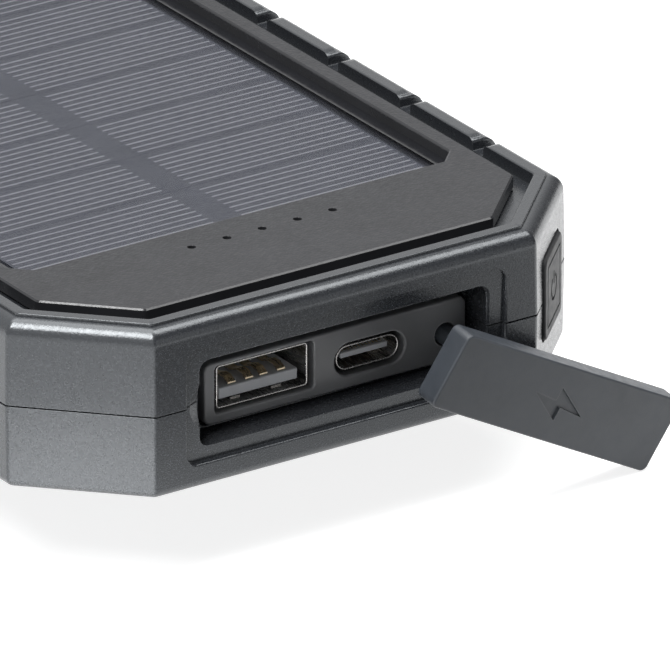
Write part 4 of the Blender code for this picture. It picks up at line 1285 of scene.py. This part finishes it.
def ray_kinds(tree):
    """Whether a ray comes from a mirroring or clear surface, and whether from the camera."""
    path = tree.nodes.new("ShaderNodeLightPath").outputs
    mirrored = math_node(tree, "MAXIMUM", path["Is Glossy Ray"], path["Is Transmission Ray"])
    return mirrored, path["Is Camera Ray"]


def floor():
    """Pale floor under the lowest point of the hanging cover, with a painted shade spot in front and a
    painted reflection glow that only mirrored rays see.
    """
    made = Finish("floor_paint", roughness=0.9)
    away = made.nodes.new("ShaderNodeVectorMath")
    away.operation = "DISTANCE"
    away.inputs[1].default_value = PAINTED_SHADE_SPOT
    made.links.new(made.place, away.inputs[0])
    near = made.spread(away.outputs["Value"], 0.0, 1.0, *PAINTED_SHADE_REACH)
    # Glow that only reflections see, rising away from the painted shade spot: a painted reflection
    far = made.spread(away.outputs["Value"], *PAINTED_REFLECTION_GLOW, *PAINTED_REFLECTION_REACH)
    painted_reflection = math_node(made.tree, "MULTIPLY", near, far)
    # Floor colour darker at the spot: painted shade in what the faces mirror
    made.colour(near, FLOOR_PAINTED_SHADE, FLOOR_PALE, 0.0, 1.0)
    mirrored, camera_ray = ray_kinds(made.tree)
    # The camera's glow is higher over the painted shade spot, so the camera still sees the floor white
    seen = math_node(made.tree, "MULTIPLY", camera_ray, made.spread(near, *FLOOR_GLOW, 0.0, 1.0))
    reflected = math_node(made.tree, "MULTIPLY", mirrored, painted_reflection)
    glow = math_node(made.tree, "MAXIMUM", seen, reflected)
    made.shader.inputs["Emission Color"].default_value = (1.0, 1.0, 1.0, 1.0)
    made.links.new(glow, made.shader.inputs["Emission Strength"])
    made.set(Specular_IOR_Level=0.0)
    mesh = bmesh.new()
    bmesh.ops.create_grid(mesh, x_segments=FLOOR_CELLS, y_segments=FLOOR_CELLS, size=FLOOR_HALF)
    data = baked(mesh, "floor")
    data.materials.append(made.material)
    obj = added("floor", data)
    obj.location.z = CAD_BOX[0][2] - FLOOR_DROP


def lamp(name, place, target, size, power):
    """Soft box that faces a point, or a narrow spot where no size is given."""
    data = bpy.data.lights.new(name, "AREA" if size else "SPOT")
    if size:
        data.shape = "RECTANGLE"
        data.size, data.size_y = size
    else:
        data.spot_size, data.spot_blend = SPOT_CONE, SPOT_BLEND
        data.shadow_soft_size = SPOT_SOFTNESS
    data.energy = power
    obj = added(name, data)
    obj.location = place
    aim = Vector(target) - Vector(place)
    obj.rotation_euler = aim.to_track_quat("-Z", "Y").to_euler()


def room():
    """White surroundings that dim towards one side, as the surfaces mirror them."""
    world = bpy.data.worlds.new("studio")
    world.use_nodes = True
    bpy.context.scene.world = world
    tree = world.node_tree
    sky = tree.nodes["Background"]
    sky.inputs["Color"].default_value = (1.0, 1.0, 1.0, 1.0)
    mirrored, camera_ray = ray_kinds(tree)
    direction = tree.nodes.new("ShaderNodeTexCoord").outputs["Generated"]
    ahead = tree.nodes.new("ShaderNodeVectorMath")
    ahead.operation = "DOT_PRODUCT"
    ahead.inputs[1].default_value = ROOM_SIDE
    tree.links.new(direction, ahead.inputs[0])
    brightness = range_node(tree, ahead.outputs["Value"], *ROOM_LEVEL, *ROOM_REACH)
    studio = math_node(tree, "MULTIPLY", brightness, range_node(tree, mirrored, *RAY_LEVEL, 0.0, 1.0))
    tree.links.new(math_node(tree, "MAXIMUM", studio, camera_ray), sky.inputs["Strength"])


def light():
    for settings in LAMPS:
        lamp(*settings)
    room()


def camera():
    """Camera at the photograph's angle, level across."""
    turn, rise = CAMERA_TURN, CAMERA_RISE
    right = Vector((math.cos(turn), -math.sin(turn), 0.0))
    back = Vector((-math.sin(turn) * math.cos(rise), -math.cos(turn) * math.cos(rise), math.sin(rise)))
    up = back.cross(right)
    target = CAMERA_TARGET + right * CAMERA_OFFSET[0] + up * CAMERA_OFFSET[1]
    data = bpy.data.cameras.new("camera")
    data.lens = CAMERA_LENS
    data.sensor_width = SENSOR
    data.clip_start, data.clip_end = CLIP
    obj = added("camera", data)
    pose = Matrix((right, up, back)).transposed().to_4x4()
    pose.translation = target + back * CAMERA_DISTANCE
    obj.matrix_world = pose
    bpy.context.scene.camera = obj


def build():
    camera()
    case_top()
    case_bottom()
    top_plate()
    finger_lines()
    cell_joints()
    panel_margins()
    port_surround()
    usb_a_port()
    usb_c_port()
    port_cover()
    cover_stem()
    power_button()
    case_screws()
    dress_solids()
    floor()
    light()


build()
bpy.context.scene.view_settings.view_transform = "Standard"
